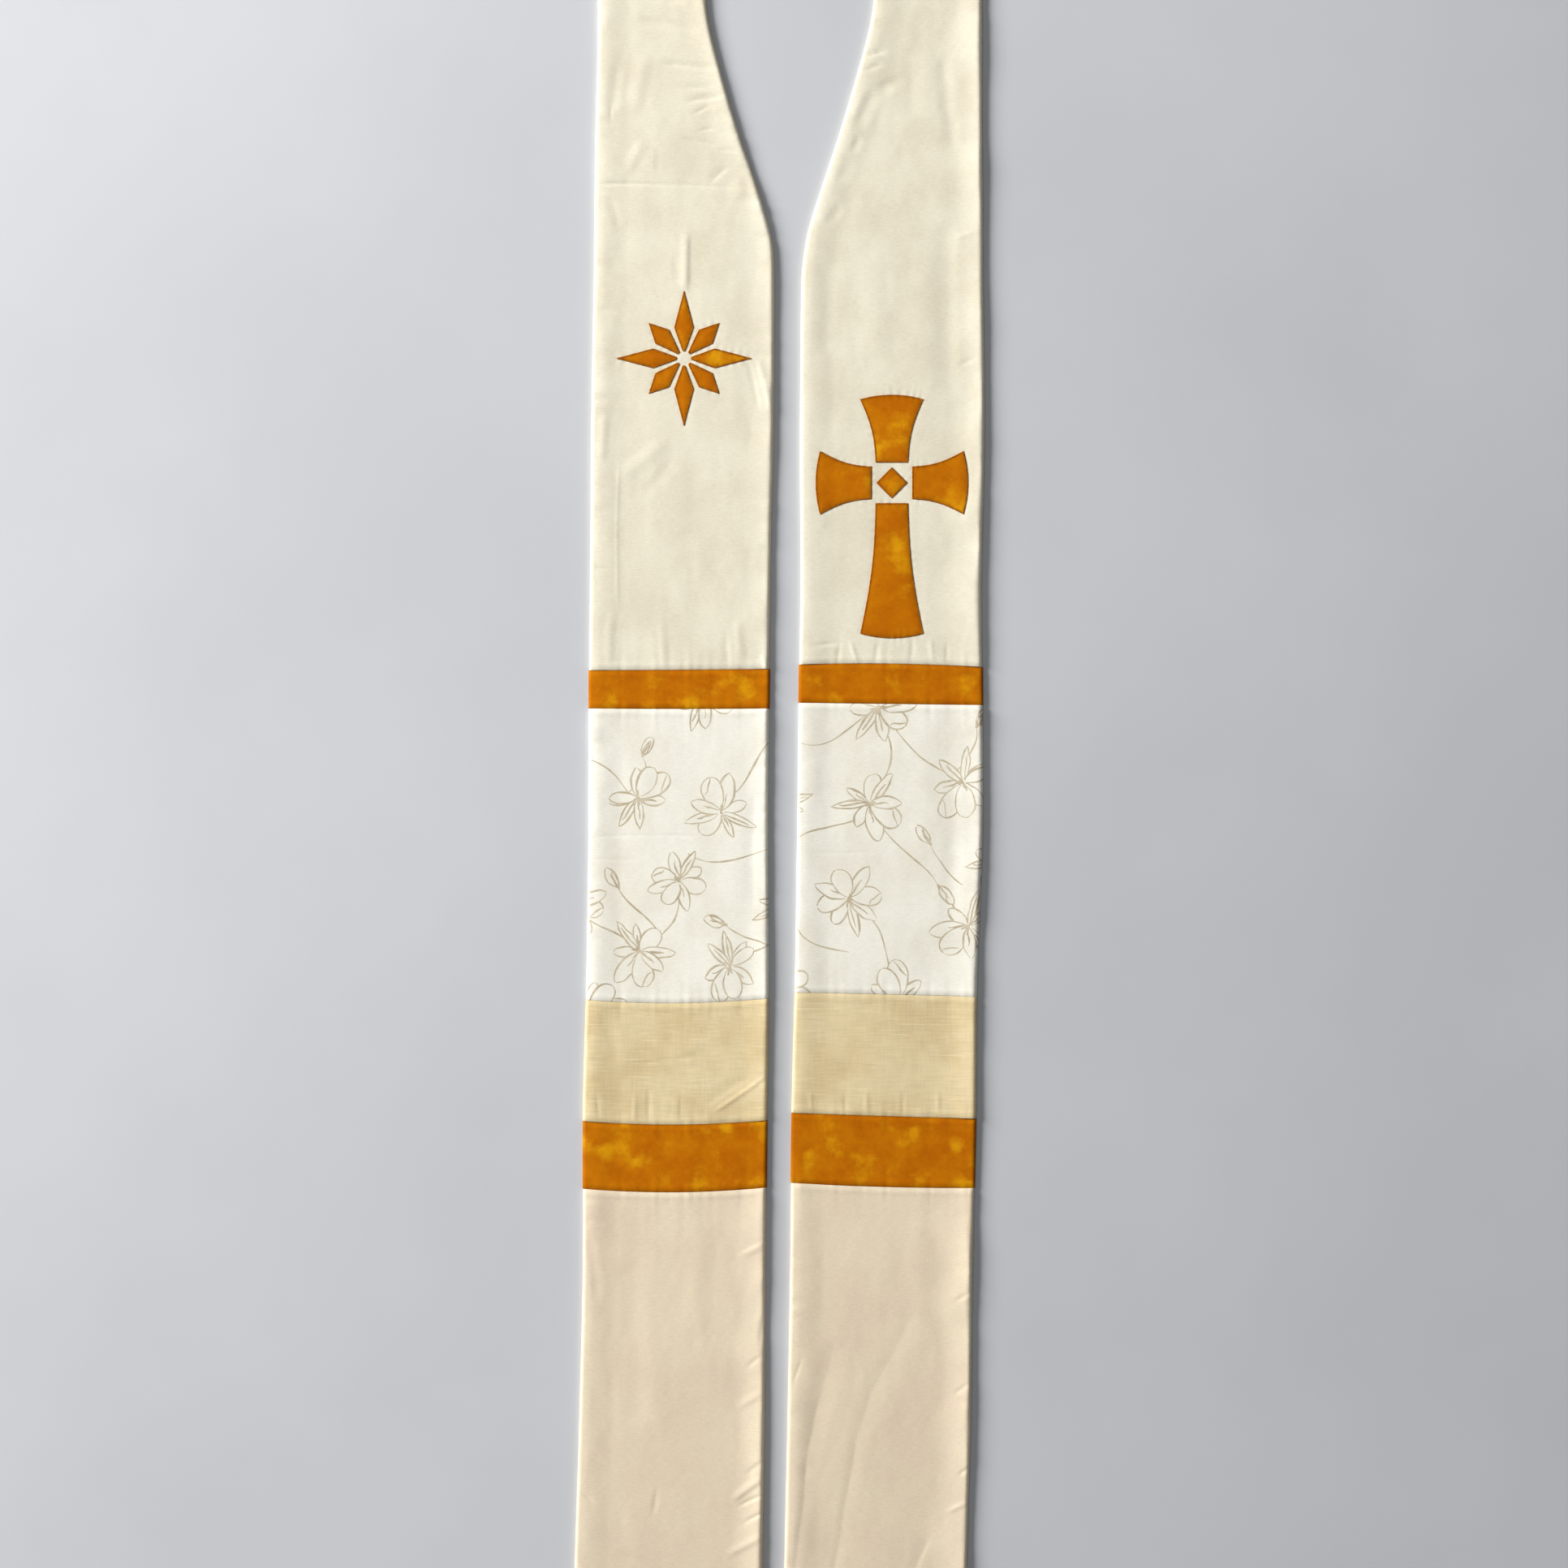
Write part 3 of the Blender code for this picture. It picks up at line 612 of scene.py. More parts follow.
def spread(piece, name, domain, values):
    """Puts one number on each vertex or face of a piece, with none on those past the list's end."""
    layer = piece.data.attributes.new(name, "FLOAT", domain)
    every = np.zeros(len(layer.data), np.float32)
    every[: len(values)] = values
    layer.data.foreach_set("value", every)


FOOT_INSET, FOOT_REACH = 0.7, 0.8
PAINTED_SHADE_REACH = 0.75
PAINTED_LIGHT_WANDER, PAINTED_LIGHT_SPAN = 0.2, (9.0, 27.0)


def cut_panel(band, k, title, proud, slot, material, painted_edge_light=0.0, plump=1.0, inked=()):
    """One panel of a band, replacing its plain solid.

    Painted edge light is how much a painted highlight lightens the strip inside its right edge, plump is how
    far its edges swell, and inked is a list of quads printed on its face.
    """
    hemmed = k == len(band.seams) - 1
    outline = panel_outline(band, k, proud)
    low, high = outline.min(axis=0), outline.max(axis=0)
    rows = np.arange(low[1], high[1], GRAIN_STEP * math.sqrt(3) / 2)
    columns = np.arange(low[0], high[0], GRAIN_STEP)
    x, y = np.meshgrid(columns, rows)
    x = x + GRAIN_STEP / 2 * (np.arange(len(rows)) % 2)[:, None]
    grain = np.column_stack((x.ravel(), y.ravel()))
    grain = grain[np.min(panel_gaps(band, k, proud, *grain.T), axis=0) > FIRST_GRAIN]
    rings = [offset(outline, inset) for inset in RING_INSETS]
    points, faces = np.vstack([outline, *rings, grain]), [list(range(len(outline)))]
    if len(inked):
        corners = np.array([corner for quad in inked for corner in quad])
        first = len(points)
        points = np.vstack([points, corners])
        faces += [list(range(first + 4 * q, first + 4 * q + 4)) for q in range(len(inked))]
    flat, triangles, within, _ = triangles_in(points, faces)
    gaps = panel_gaps(band, k, proud, *flat.T)
    top = cloth_height(band, *flat.T, gaps, hemmed, plump)
    free = np.min(gaps[:2] + (gaps[3:] if hemmed else ()), axis=0)
    feet = FOOT_INSET * (1 - np.clip(free[edge_loop(triangles)] / FOOT_REACH, 0, 1))
    node = f"{band.word}_{title}"
    piece = close_cloth(f"{node}_cloth", flat, triangles, top, 0.0, feet, material)
    # Painted shade: the colour darkens within a millimetre of each seam, where the seam's ditch lies in
    # shadow.
    seam = np.maximum(gaps[2] if hemmed else np.minimum(gaps[2], gaps[3]), 0)
    # On gold the painted shade also runs along the outer and inner edges and darkens the rim that catches the
    # light.
    if slot == "gold_cotton":
        seam = np.minimum(seam, np.maximum(np.minimum(gaps[0], gaps[1]), 0))
    spread(piece, "painted_seam_shade", "POINT", np.exp(-seam / PAINTED_SHADE_REACH))
    # Painted highlight: the strip inside the right edge, whose inner flank faces the light, is made lighter.
    right = gaps[1] if band.side < 0 else gaps[0]
    right = right * (1 + PAINTED_LIGHT_WANDER * edge_wander(band, *flat.T))
    spread(piece, "painted_edge_light", "POINT", painted_edge_light * (1 - ease(right, *PAINTED_LIGHT_SPAN)))
    if len(inked):
        spread(piece, "ink", "FACE", (within > 0).astype(float))
    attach(piece, "root")
    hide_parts(node)
    return piece


def add_node(tree, kind, inputs=None, **settings):
    """A node with its settings, and each input set to a value or linked from a socket."""
    made = tree.nodes.new(kind)
    for key, value in settings.items():
        setattr(made, key, value)
    for key, value in (inputs or {}).items():
        if isinstance(value, bpy.types.NodeSocket):
            tree.links.new(value, made.inputs[key])
        else:
            made.inputs[key].default_value = value
    return made


def sum_of(tree, a, b, operation="ADD"):
    """Two numbers or sockets put through a Math node."""
    return add_node(tree, "ShaderNodeMath", {0: a, 1: b}, operation=operation).outputs[0]


def new_group(name, inputs, outputs):
    """An empty shader node group with named number and vector sockets."""
    group = bpy.data.node_groups.new(name, "ShaderNodeTree")
    for title, kind in inputs:
        group.interface.new_socket(title, in_out="INPUT", socket_type=kind)
    for title, kind in outputs:
        group.interface.new_socket(title, in_out="OUTPUT", socket_type=kind)
    return group, group.nodes.new("NodeGroupInput").outputs, group.nodes.new("NodeGroupOutput").inputs


CROSSING_RELIEF, THREAD_FINENESS, WEFT_SHARE = 0.25, 0.55, 0.55


def make_plain_weave():
    """Crossed threads with thick and thin places, as a height and a tone about zero."""
    number, vector = "NodeSocketFloat", "NodeSocketVector"
    group, given, result = new_group(
        "plain_weave",
        [("Place", vector), ("Threads", number), ("Slubs", number), ("Slub Length", number)],
        [("Height", number), ("Tone", number)],
    )
    turn = sum_of(group, given["Threads"], 2 * math.pi, "MULTIPLY")
    apart = add_node(group, "ShaderNodeSeparateXYZ", {0: given["Place"]}).outputs
    waves = [
        add_node(group, "ShaderNodeMath", {0: sum_of(group, apart[axis], turn, "MULTIPLY")}, operation="SINE")
        for axis in (0, 1)
    ]
    crossed = sum_of(group, waves[0].outputs[0], waves[1].outputs[0], "MULTIPLY")
    tones = []
    for axis in (0, 1):
        run = [sum_of(group, given["Threads"], THREAD_FINENESS, "MULTIPLY")] * 2 + [0.0]
        run[axis] = given["Slub Length"]
        scale = add_node(group, "ShaderNodeCombineXYZ", dict(enumerate(run))).outputs[0]
        place = add_node(group, "ShaderNodeVectorMath", {0: given["Place"], 1: scale}, operation="MULTIPLY")
        noise = add_node(
            group, "ShaderNodeTexNoise",
            {"Vector": place.outputs[0], "Scale": 1.0, "Detail": 2.0, "Roughness": 0.6},
        ).outputs["Fac"]
        tones.append(sum_of(group, sum_of(group, noise, 0.5, "SUBTRACT"), given["Slubs"], "MULTIPLY"))
    tone = sum_of(group, tones[0], sum_of(group, tones[1], WEFT_SHARE, "MULTIPLY"))
    group.links.new(tone, result["Tone"])
    relief = sum_of(group, crossed, CROSSING_RELIEF, "MULTIPLY")
    group.links.new(sum_of(group, relief, tone), result["Height"])
    return group


def make_clouds():
    """Soft uneven patches of one size, from 0 to 1, with low and high setting where they start and end."""
    number, vector = "NodeSocketFloat", "NodeSocketVector"
    group, given, result = new_group(
        "cloudy_patches",
        [("Place", vector), ("Patches", number), ("Low", number), ("High", number)],
        [("Mask", number)],
    )
    noise = add_node(
        group, "ShaderNodeTexNoise",
        {"Vector": given["Place"], "Scale": given["Patches"], "Detail": 4.0, "Roughness": 0.55},
    ).outputs["Fac"]
    fitted = add_node(
        group, "ShaderNodeMapRange",
        {"Value": noise, "From Min": given["Low"], "From Max": given["High"]},
        interpolation_type="SMOOTHSTEP",
    )
    group.links.new(fitted.outputs[0], result["Mask"])
    return group


PLAIN_WEAVE = make_plain_weave()
CLOUDY_PATCHES = make_clouds()


def grouped(tree, group, inputs):
    """The outputs of a node group placed in a tree."""
    return add_node(tree, "ShaderNodeGroup", inputs, node_tree=group).outputs


def cloudy(tree, place, patches, low=0.35, high=0.68):
    """The mask of cloudy patches of one size."""
    inputs = {"Place": place, "Patches": patches, "Low": low, "High": high}
    return grouped(tree, CLOUDY_PATCHES, inputs)["Mask"]


def blend(tree, share, a, b, blend_type="MIX"):
    """Two colours or colour sockets mixed by a share."""
    made = add_node(tree, "ShaderNodeMix", {0: share, 6: a, 7: b}, data_type="RGBA", blend_type=blend_type)
    return made.outputs[2]


def opaque(colour):
    """A colour with full alpha."""
    return (*colour, 1.0)


def two_tone(light, deep, patches):
    """Paint that drifts between two close colours in soft patches of one size."""
    return lambda tree, place: blend(tree, cloudy(tree, place, patches), opaque(light), opaque(deep))


THREAD_RELIEF = 0.4 * MM


def woven_material(
    name, paint, slubs, threads=1900.0, slub_length=240.0, roughness=0.82, bump=0.2, gloss=0.2, painted_shade_strength=0.08
):
    """A woven cloth with so many threads a metre. Paint gives its colour at a place on the cloth."""
    material = bpy.data.materials.new(name)
    material.use_nodes = True
    tree = material.node_tree
    shader = tree.nodes["Principled BSDF"]
    place = add_node(tree, "ShaderNodeTexCoord").outputs["Object"]
    weave = grouped(
        tree, PLAIN_WEAVE,
        {"Place": place, "Threads": threads, "Slubs": slubs, "Slub Length": slub_length},
    )
    colour = paint(tree, place)
    # Painted shade: the seam attribute darkens the colour, by a strength set for each cloth.
    shade = add_node(tree, "ShaderNodeAttribute", attribute_name="painted_seam_shade").outputs["Fac"]
    painted_shade_factor = sum_of(tree, 1.0, sum_of(tree, shade, painted_shade_strength, "MULTIPLY"), "SUBTRACT")
    # Painted highlight: the edge attribute lightens the strip inside each right edge.
    painted_highlight = add_node(tree, "ShaderNodeAttribute", attribute_name="painted_edge_light").outputs["Fac"]
    toned = sum_of(tree, sum_of(tree, painted_shade_factor, painted_highlight), weave["Tone"])
    grey = add_node(tree, "ShaderNodeCombineColor", {0: toned, 1: toned, 2: toned}).outputs[0]
    tree.links.new(blend(tree, 1.0, colour, grey, "MULTIPLY"), shader.inputs["Base Color"])
    relief = add_node(
        tree, "ShaderNodeBump", {"Height": weave["Height"], "Strength": bump, "Distance": THREAD_RELIEF}
    )
    tree.links.new(relief.outputs[0], shader.inputs["Normal"])
    rough = sum_of(tree, weave["Tone"], roughness)
    tree.links.new(rough, shader.inputs["Roughness"])
    shader.inputs["Specular IOR Level"].default_value = gloss
    return material


CREAM_LIGHT, CREAM_DEEP = (0.782, 0.726, 0.575), (0.725, 0.66, 0.507)
cream = woven_material("cream_cotton", two_tone(CREAM_LIGHT, CREAM_DEEP, 26.0), slubs=0.24)
cut_panel(BANDS[0], 0, "upper_panel", 0.0, "cream_cotton", cream)
# The right band's cream gets a painted highlight inside its right edge.
cut_panel(BANDS[1], 0, "upper_panel", 0.0, "cream_cotton", cream, painted_edge_light=0.05)

# The gold patches. Eight lozenges make a star on the left upper panel, and a square and four flared
# arms make a cross on the right one. Each is a single layer of mottled gold cotton laid on the cream
# and stitched down all round, so that it swells slightly inside its edge.
PATCH_LIFT = 0.05
PATCH_WALL = 0.24
PATCH_SWELL = 0.14
PATCH_RING, PATCH_GRAIN_FROM = 0.5, 0.8
PATCH_PAINTED_SHADE_REACH = 1.2
GOLD_DEEP, GOLD_LIGHT, GOLD_YELLOW = (0.455, 0.118, 0.0012), (0.545, 0.172, 0.0018), (0.68, 0.3, 0.004)
FINE_SHARE = 0.35


def paint_gold(tree, place):
    broad = sum_of(tree, cloudy(tree, place, 55.0, 0.36, 0.64), 1 - FINE_SHARE, "MULTIPLY")
    fine = sum_of(tree, cloudy(tree, place, 210.0, 0.3, 0.72), FINE_SHARE, "MULTIPLY")
    base = blend(tree, sum_of(tree, broad, fine), opaque(GOLD_DEEP), opaque(GOLD_LIGHT))
    return blend(tree, cloudy(tree, place, 41.0, 0.51, 0.71), base, opaque(GOLD_YELLOW))


# The gold has the strongest painted shade at its seams, edges and patch borders.
gold = woven_material("gold_cotton", paint_gold, slubs=0.24, roughness=0.8, gloss=0.03, painted_shade_strength=0.45)


def cut_patch(band, name, outline):
    """One patch, made over the panel's own face and replacing its plain solid."""
    low, high = outline.min(axis=0), outline.max(axis=0)
    x, y = np.meshgrid(np.arange(low[0], high[0], GRAIN_STEP), np.arange(low[1], high[1], GRAIN_STEP))
    x, y = x.ravel(), y.ravel()
    away, _ = from_outline(outline, x, y)
    inside = np.column_stack((x, y))[away > PATCH_GRAIN_FROM]
    points = np.vstack([outline, offset(outline, PATCH_RING), inside])
    flat, triangles, _, _ = triangles_in(points, [list(range(len(outline)))])
    face = cloth_height(band, *flat.T, panel_gaps(band, 0, 0.0, *flat.T), False)
    away, _ = from_outline(outline, *flat.T)
    top = face + PATCH_LIFT + PATCH_WALL * ease(away, -0.6, 0.6) + PATCH_SWELL * ease(away, 0.5, 5.0)
    loop = edge_loop(triangles)
    piece = close_cloth(name + "_cloth", flat, triangles, top, face + PATCH_LIFT, np.zeros(len(loop)), gold)
    # Painted shade: the gold darkens towards the patch's stitched edge.
    spread(piece, "painted_seam_shade", "POINT", np.exp(-away / PATCH_PAINTED_SHADE_REACH))
    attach(piece, "root")
    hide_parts(name)
    return piece


for band in BANDS:
    for name, outline in PATCHES[band.word].items():
        cut_patch(band, name, outline)

# The satin stitches. A brown-gold thread runs round each patch in close stitches that lie across its
# edge, mostly on the gold, and pull it down to the cotton.
STITCH_PITCH = 0.35 * MM
STITCH_SIZE = (0.78 * MM, 0.27 * MM, 0.16 * MM)
STITCH_INSET = 0.42
STITCH_LIFT = 0.21
STITCH_SEED = 5
STITCH_LEAST, STITCH_MOST = (0.84, 0.95, 0.85), (1.12, 1.1, 1.2)
THREAD_DEEP, THREAD_LIGHT = (0.27, 0.072, 0.0012), (0.37, 0.115, 0.002)


def make_satin_stitches():
    """Geometry nodes that lay threads side by side across every line of a mesh."""
    tree = bpy.data.node_groups.new("satin_stitches", "GeometryNodeTree")
    sockets = (
        ("Lines", "NodeSocketGeometry"),
        ("Pitch", "NodeSocketFloat"),
        ("Stitch Size", "NodeSocketVector"),
        ("Seed", "NodeSocketInt"),
        ("Thread", "NodeSocketMaterial"),
    )
    for title, kind in sockets:
        tree.interface.new_socket(title, in_out="INPUT", socket_type=kind)
    tree.interface.new_socket("Stitches", in_out="OUTPUT", socket_type="NodeSocketGeometry")
    given = tree.nodes.new("NodeGroupInput").outputs
    lines = add_node(tree, "GeometryNodeMeshToCurve", {"Mesh": given["Lines"]}).outputs[0]
    upright = add_node(tree, "GeometryNodeSetCurveNormal", {"Curve": lines}, mode="Z_UP").outputs[0]
    spaced = add_node(
        tree, "GeometryNodeCurveToPoints", {"Curve": upright, "Length": given["Pitch"]}, mode="LENGTH"
    ).outputs
    across = add_node(
        tree, "FunctionNodeAxesToRotation", {0: spaced["Normal"], 1: spaced["Tangent"]},
        primary_axis="X", secondary_axis="Y",
    )
    bead = add_node(tree, "GeometryNodeMeshUVSphere", {"Segments": 6, "Rings": 4, "Radius": 1.0})
    thread = add_node(
        tree, "GeometryNodeTransform", {"Geometry": bead.outputs["Mesh"], "Scale": given["Stitch Size"]}
    ).outputs[0]
    chance = add_node(
        tree, "FunctionNodeRandomValue",
        {"Seed": given["Seed"], 0: STITCH_LEAST, 1: STITCH_MOST}, data_type="FLOAT_VECTOR",
    )
    laid = add_node(
        tree, "GeometryNodeInstanceOnPoints",
        {"Points": spaced["Points"], "Instance": thread, "Rotation": across.outputs[0],
         "Scale": chance.outputs[0]},
    )
    whole = add_node(tree, "GeometryNodeRealizeInstances", {0: laid.outputs[0]}).outputs[0]
    done = add_node(tree, "GeometryNodeSetMaterial", {"Geometry": whole, "Material": given["Thread"]})
    tree.links.new(done.outputs[0], tree.nodes.new("NodeGroupOutput").inputs[0])
    return tree


def paint_thread(tree, place):
    return blend(tree, cloudy(tree, place, 400.0, 0.35, 0.65), opaque(THREAD_DEEP), opaque(THREAD_LIGHT))


brown_thread = woven_material(
    "brown_gold_thread", paint_thread, slubs=0.1, threads=2500.0, slub_length=300.0, roughness=0.55,
    bump=0.1, gloss=0.05, painted_shade_strength=0.0,
)
SATIN_STITCHES = make_satin_stitches()


def stitch_round(name, band):
    """The stitches round all the patches of one upper panel."""
    points, lines = [], []
    for outline in PATCHES[band.word].values():
        line = offset(outline, STITCH_INSET)
        height = cloth_height(band, *line.T, panel_gaps(band, 0, 0.0, *line.T), False) + STITCH_LIFT
        first, n = len(points), len(line)
        points += in_metres(np.column_stack((line, height)))
        lines += [(first + i, first + (i + 1) % n) for i in range(n)]
    guide = bpy.data.meshes.new(name)
    guide.from_pydata(points, lines, [])
    piece = put_in_scene(name, guide)
    modifier = piece.modifiers.new("stitches", "NODES")
    modifier.node_group = SATIN_STITCHES
    values = {"Pitch": STITCH_PITCH, "Stitch Size": STITCH_SIZE, "Seed": STITCH_SEED, "Thread": brown_thread}
    for socket in SATIN_STITCHES.interface.items_tree:
        if socket.in_out == "INPUT" and socket.name in values:
            modifier[socket.identifier] = values[socket.name]
    evaluated = piece.evaluated_get(bpy.context.evaluated_depsgraph_get())
    plain = bpy.data.meshes.new_from_object(evaluated)
    piece.modifiers.remove(modifier)
    piece.data = plain
    plain.polygons.foreach_set("use_smooth", np.ones(len(plain.polygons), bool))
    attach(piece, "root")
    return piece


stitch_round("star_stitches", BANDS[0])
stitch_round("cross_stitches", BANDS[1])

# The gold bands. A narrow one closes each upper panel and a wide one lies lower down, cut from the
# same mottled gold cotton, joined by plain seams and pressed so that each edge rolls under.
for band in BANDS:
    cut_panel(band, 1, "narrow_gold_band", 0.6, "gold_cotton", gold, plump=0.35)
    cut_panel(band, 4, "wide_gold_band", 0.5, "gold_cotton", gold, plump=0.35)

# The print panels. White cotton is printed with a trailing flower drawn in a thin taupe brush line:
# open blooms of long petals, buds and stems, cut off wherever the seams and edges fall. The print
# is faces of the cloth itself.
INK_WIDTH = 1.22
INK_STEP = 1.0
INK_WANDER, INK_WEIGHTS = 0.22, (0.6, 1.3)
HEART_STROKES, HEART_INK, FOLD_INK, BUD_INK, STEM_INK = 5, 1.35, 0.85, 1.9, 0.9
STEM_BOW = 1.4
INK_SEED = 23
PRINT_LIGHT, PRINT_DEEP = (0.862, 0.83, 0.725), (0.80, 0.757, 0.64)
INK_LIGHT, INK_DEEP = (0.61, 0.53, 0.39), (0.47, 0.39, 0.26)

Petal = namedtuple("Petal", "turn length width round rib fold")
BLOOMS = {
    "open": (
        (8, 21, 12, 0.9, 0, 0),
        (-36, 25, 10, 0.2, 0.55, 0),
        (52, 26, 11, 0.3, 0.6, 0),
        (96, 22, 13, 0.8, 0, 0.8),
        (-78, 22, 13, 0.7, 0, 0),
        (148, 24, 10, 0.3, 0.7, 0),
        (190, 27, 8, 0, 0.75, 0),
        (232, 20, 10, 0.6, 0, 0),
    ),
    "fan": (
        (-14, 22, 10, 0.2, 0.6, 0),
        (26, 25, 14, 0.9, 0, -0.8),
        (-52, 26, 9, 0, 0.65, 0),
        (68, 27, 12, 0.4, 0.5, 0),
        (-92, 20, 12, 0.8, 0, 0),
        (172, 26, 7, 0, 0.8, 0),
        (205, 19, 6, 0.1, 0.6, 0),
        (118, 18, 8, 0.5, 0, 0),
    ),
    "cup": (
        (4, 24, 14, 0.6, 0, 0),
        (-30, 21, 10, 0.3, 0.6, 0),
        (36, 27, 13, 0.9, 0, 0.9),
        (-112, 21, 9, 0.5, 0, 0),
        (84, 20, 9, 0.3, 0.7, 0),
        (150, 23, 8, 0, 0.7, 0),
        (196, 25, 7, 0.1, 0.8, 0),
        (238, 21, 8, 0, 0.6, 0),
    ),
}
Bloom = namedtuple("Bloom", "kind x down turn size")
Bud = namedtuple("Bud", "x down turn size")
Stem = namedtuple("Stem", "x0 down0 x1 down1 bow0 bow1")
PRINTS = {
    "left": (
        Bloom("cup", -104, 562, 20, 0.95),
        Bloom("fan", -47, 572, -52, 1.0),
        Bloom("open", -76, 619, 195, 0.86),
        Bloom("fan", -103, 667, 142, 0.98),
        Bloom("cup", -41, 677, 165, 0.95),
        Bloom("open", -59, 491, 20, 1.0),
        Bloom("fan", -3, 636, 70, 0.95),
        Bloom("open", -147, 636, 10, 0.9),
        Bloom("cup", -137, 709, 40, 1.0),
        Bud(-101, 534, 24, 1.0),
        Bud(-117, 624, -36, 1.1),
        Bud(-44, 649, -78, 1.05),
        Stem(-101, 534, -112, 560, 8, 3),
        Stem(-142, 535, -108, 562, 6, 3),
        Stem(-40, 560, -8, 520, -5, 6),
        Stem(-117, 624, -90, 655, -3, 3),
        Stem(-44, 649, -8, 668, -3, 3),
        Stem(-70, 600, -10, 596, -11, -2),
        Stem(-142, 640, -108, 664, -4, 4),
        Stem(-76, 632, -96, 662, 6, 3),
        Stem(-8, 656, -38, 674, 5, -3),
    ),
    "right": (
        Bloom("open", 61, 500, 30, 1.0),
        Bloom("fan", 54, 566, 95, 1.0),
        Bloom("cup", 118, 552, 172, 1.0),
        Bloom("open", 40, 631, -22, 1.0),
        Bloom("fan", 122, 650, 196, 1.0),
        Bloom("cup", 74, 700, -30, 1.0),
        Bloom("fan", -7, 566, -96, 0.9),
        Bloom("open", -6, 690, 60, 0.9),
        Bloom("open", 141, 606, 70, 0.8),
        Bud(127, 514, 28, 1.0),
        Bud(101, 622, 140, 1.1),
        Bud(96, 594, -30, 1.05),
        Stem(61, 510, 50, 566, 14, 10),
        Stem(5, 524, 56, 502, -12, -3),
        Stem(66, 506, 110, 546, -4, -6),
        Stem(127, 514, 112, 546, 6, 2),
        Stem(5, 590, 50, 574, 4, -4),
        Stem(60, 576, 101, 622, -5, 3),
        Stem(101, 622, 122, 652, 3, -2),
        Stem(96, 594, 118, 622, -2, -2),
        Stem(40, 636, 70, 690, 14, 4),
        Stem(4, 650, 40, 668, -7, -2),
    ),
}


def curve_through(corners, t):
    """Points at shares t along a bending line from the first corner to the last."""
    a, b, c, d = (np.array(corner, float) for corner in corners)
    t = t[:, None]
    return (1 - t) ** 3 * a + 3 * (1 - t) ** 2 * t * b + 3 * (1 - t) * t**2 * c + t**3 * d


def within(shape, points):
    """Which points lie inside a closed shape."""
    x0, y0 = shape.T
    x1, y1 = np.roll(shape, -1, axis=0).T
    px, py = points[:, :1], points[:, 1:]
    spans = (y0 > py) != (y1 > py)
    meets = x0 + (py - y0) * (x1 - x0) / np.where(y1 == y0, 1e-9, y1 - y0)
    return np.sum(spans & (px < meets), axis=1) % 2 == 1


def brush_line(corners, width, fronts, chance, start=0.0, end=1.0):
    """The quads of one wavering brush line, without those behind a shape in front or folded over."""
    reach = sum(math.dist(a, b) for a, b in zip(corners, corners[1:]))
    steps = max(3, round(reach * (end - start) / INK_STEP))
    t = np.linspace(0, 1, steps + 1)
    points = curve_through(corners, start + (end - start) * t)
    marks = np.linspace(0, 1, 6)
    points += np.column_stack([np.interp(t, marks, chance.normal(0, INK_WANDER, 6)) for _ in "xy"])
    waver = np.interp(t, marks, chance.uniform(*INK_WEIGHTS, 6))
    half = 0.5 * width * (0.45 + 0.6 * np.sin(math.pi * np.clip(t, 0.06, 0.94))) * waver
    run = np.gradient(points, axis=0)
    across = np.column_stack((-run[:, 1], run[:, 0])) / np.hypot(*run.T)[:, None] * half[:, None]
    left, right = points + across, points - across
    middle = (points[1:] + points[:-1]) / 2
    hidden = np.zeros(steps, bool)
    for shape in fronts:
        hidden |= within(shape, middle)
    corners = np.stack((right[:-1], right[1:], left[1:], left[:-1]), axis=1)
    side = np.roll(corners, -1, axis=1) - corners
    after = np.roll(side, -1, axis=1)
    open_ones = np.all(side[..., 0] * after[..., 1] - side[..., 1] * after[..., 0] > 1e-3, axis=1)
    return list(corners[open_ones & ~hidden])


def draw_petal(petal, centre, turn, size, fronts, chance):
    """A petal's two sides, with its rib or its folded tip, and its shape as the last in front."""
    a = math.radians(turn + petal.turn + chance.uniform(-6, 6))
    out, side = np.array((math.sin(a), math.cos(a))), np.array((math.cos(a), -math.sin(a)))
    length, half = petal.length * size, petal.width * size / 2
    lean = chance.uniform(-0.12, 0.12) * length

    def at(along, across):
        return centre + out * along * length + side * (across * half + lean * along * along)

    tip = at(1, 0)
    sides = []
    for hand in (-1, 1):
        full = chance.uniform(1.05, 1.4)
        shoulder = at(0.78 + 0.24 * petal.round, hand * (0.85 + 0.75 * petal.round))
        sides.append((at(0.05, hand * 0.1), at(0.3, hand * full), shoulder, tip))
    quads = []
    for corners in sides:
        quads += brush_line(
            corners, INK_WIDTH * chance.uniform(0.8, 1.15), fronts, chance,
            chance.uniform(0.0, 0.06), 1 - chance.uniform(-0.02, 0.04),
        )
    if petal.rib:
        rib = (at(0.1, 0.1), at(0.3, 0.2), at(petal.rib * 0.75, -0.15), at(petal.rib, 0.1))
        quads += brush_line(rib, INK_WIDTH * chance.uniform(0.7, 1.3), fronts, chance)
    if petal.fold:
        marks = ((0.62, 1.0), (0.7, 0.3), (0.86, 0.1), (0.96, -0.35))
        fold = [at(along, petal.fold * across) for along, across in marks]
        quads += brush_line(fold, INK_WIDTH * FOLD_INK, fronts, chance)
    t = np.linspace(0, 1, 12)
    fronts.append(np.vstack((curve_through(sides[0], t), curve_through(sides[1], t)[::-1])))
    return quads


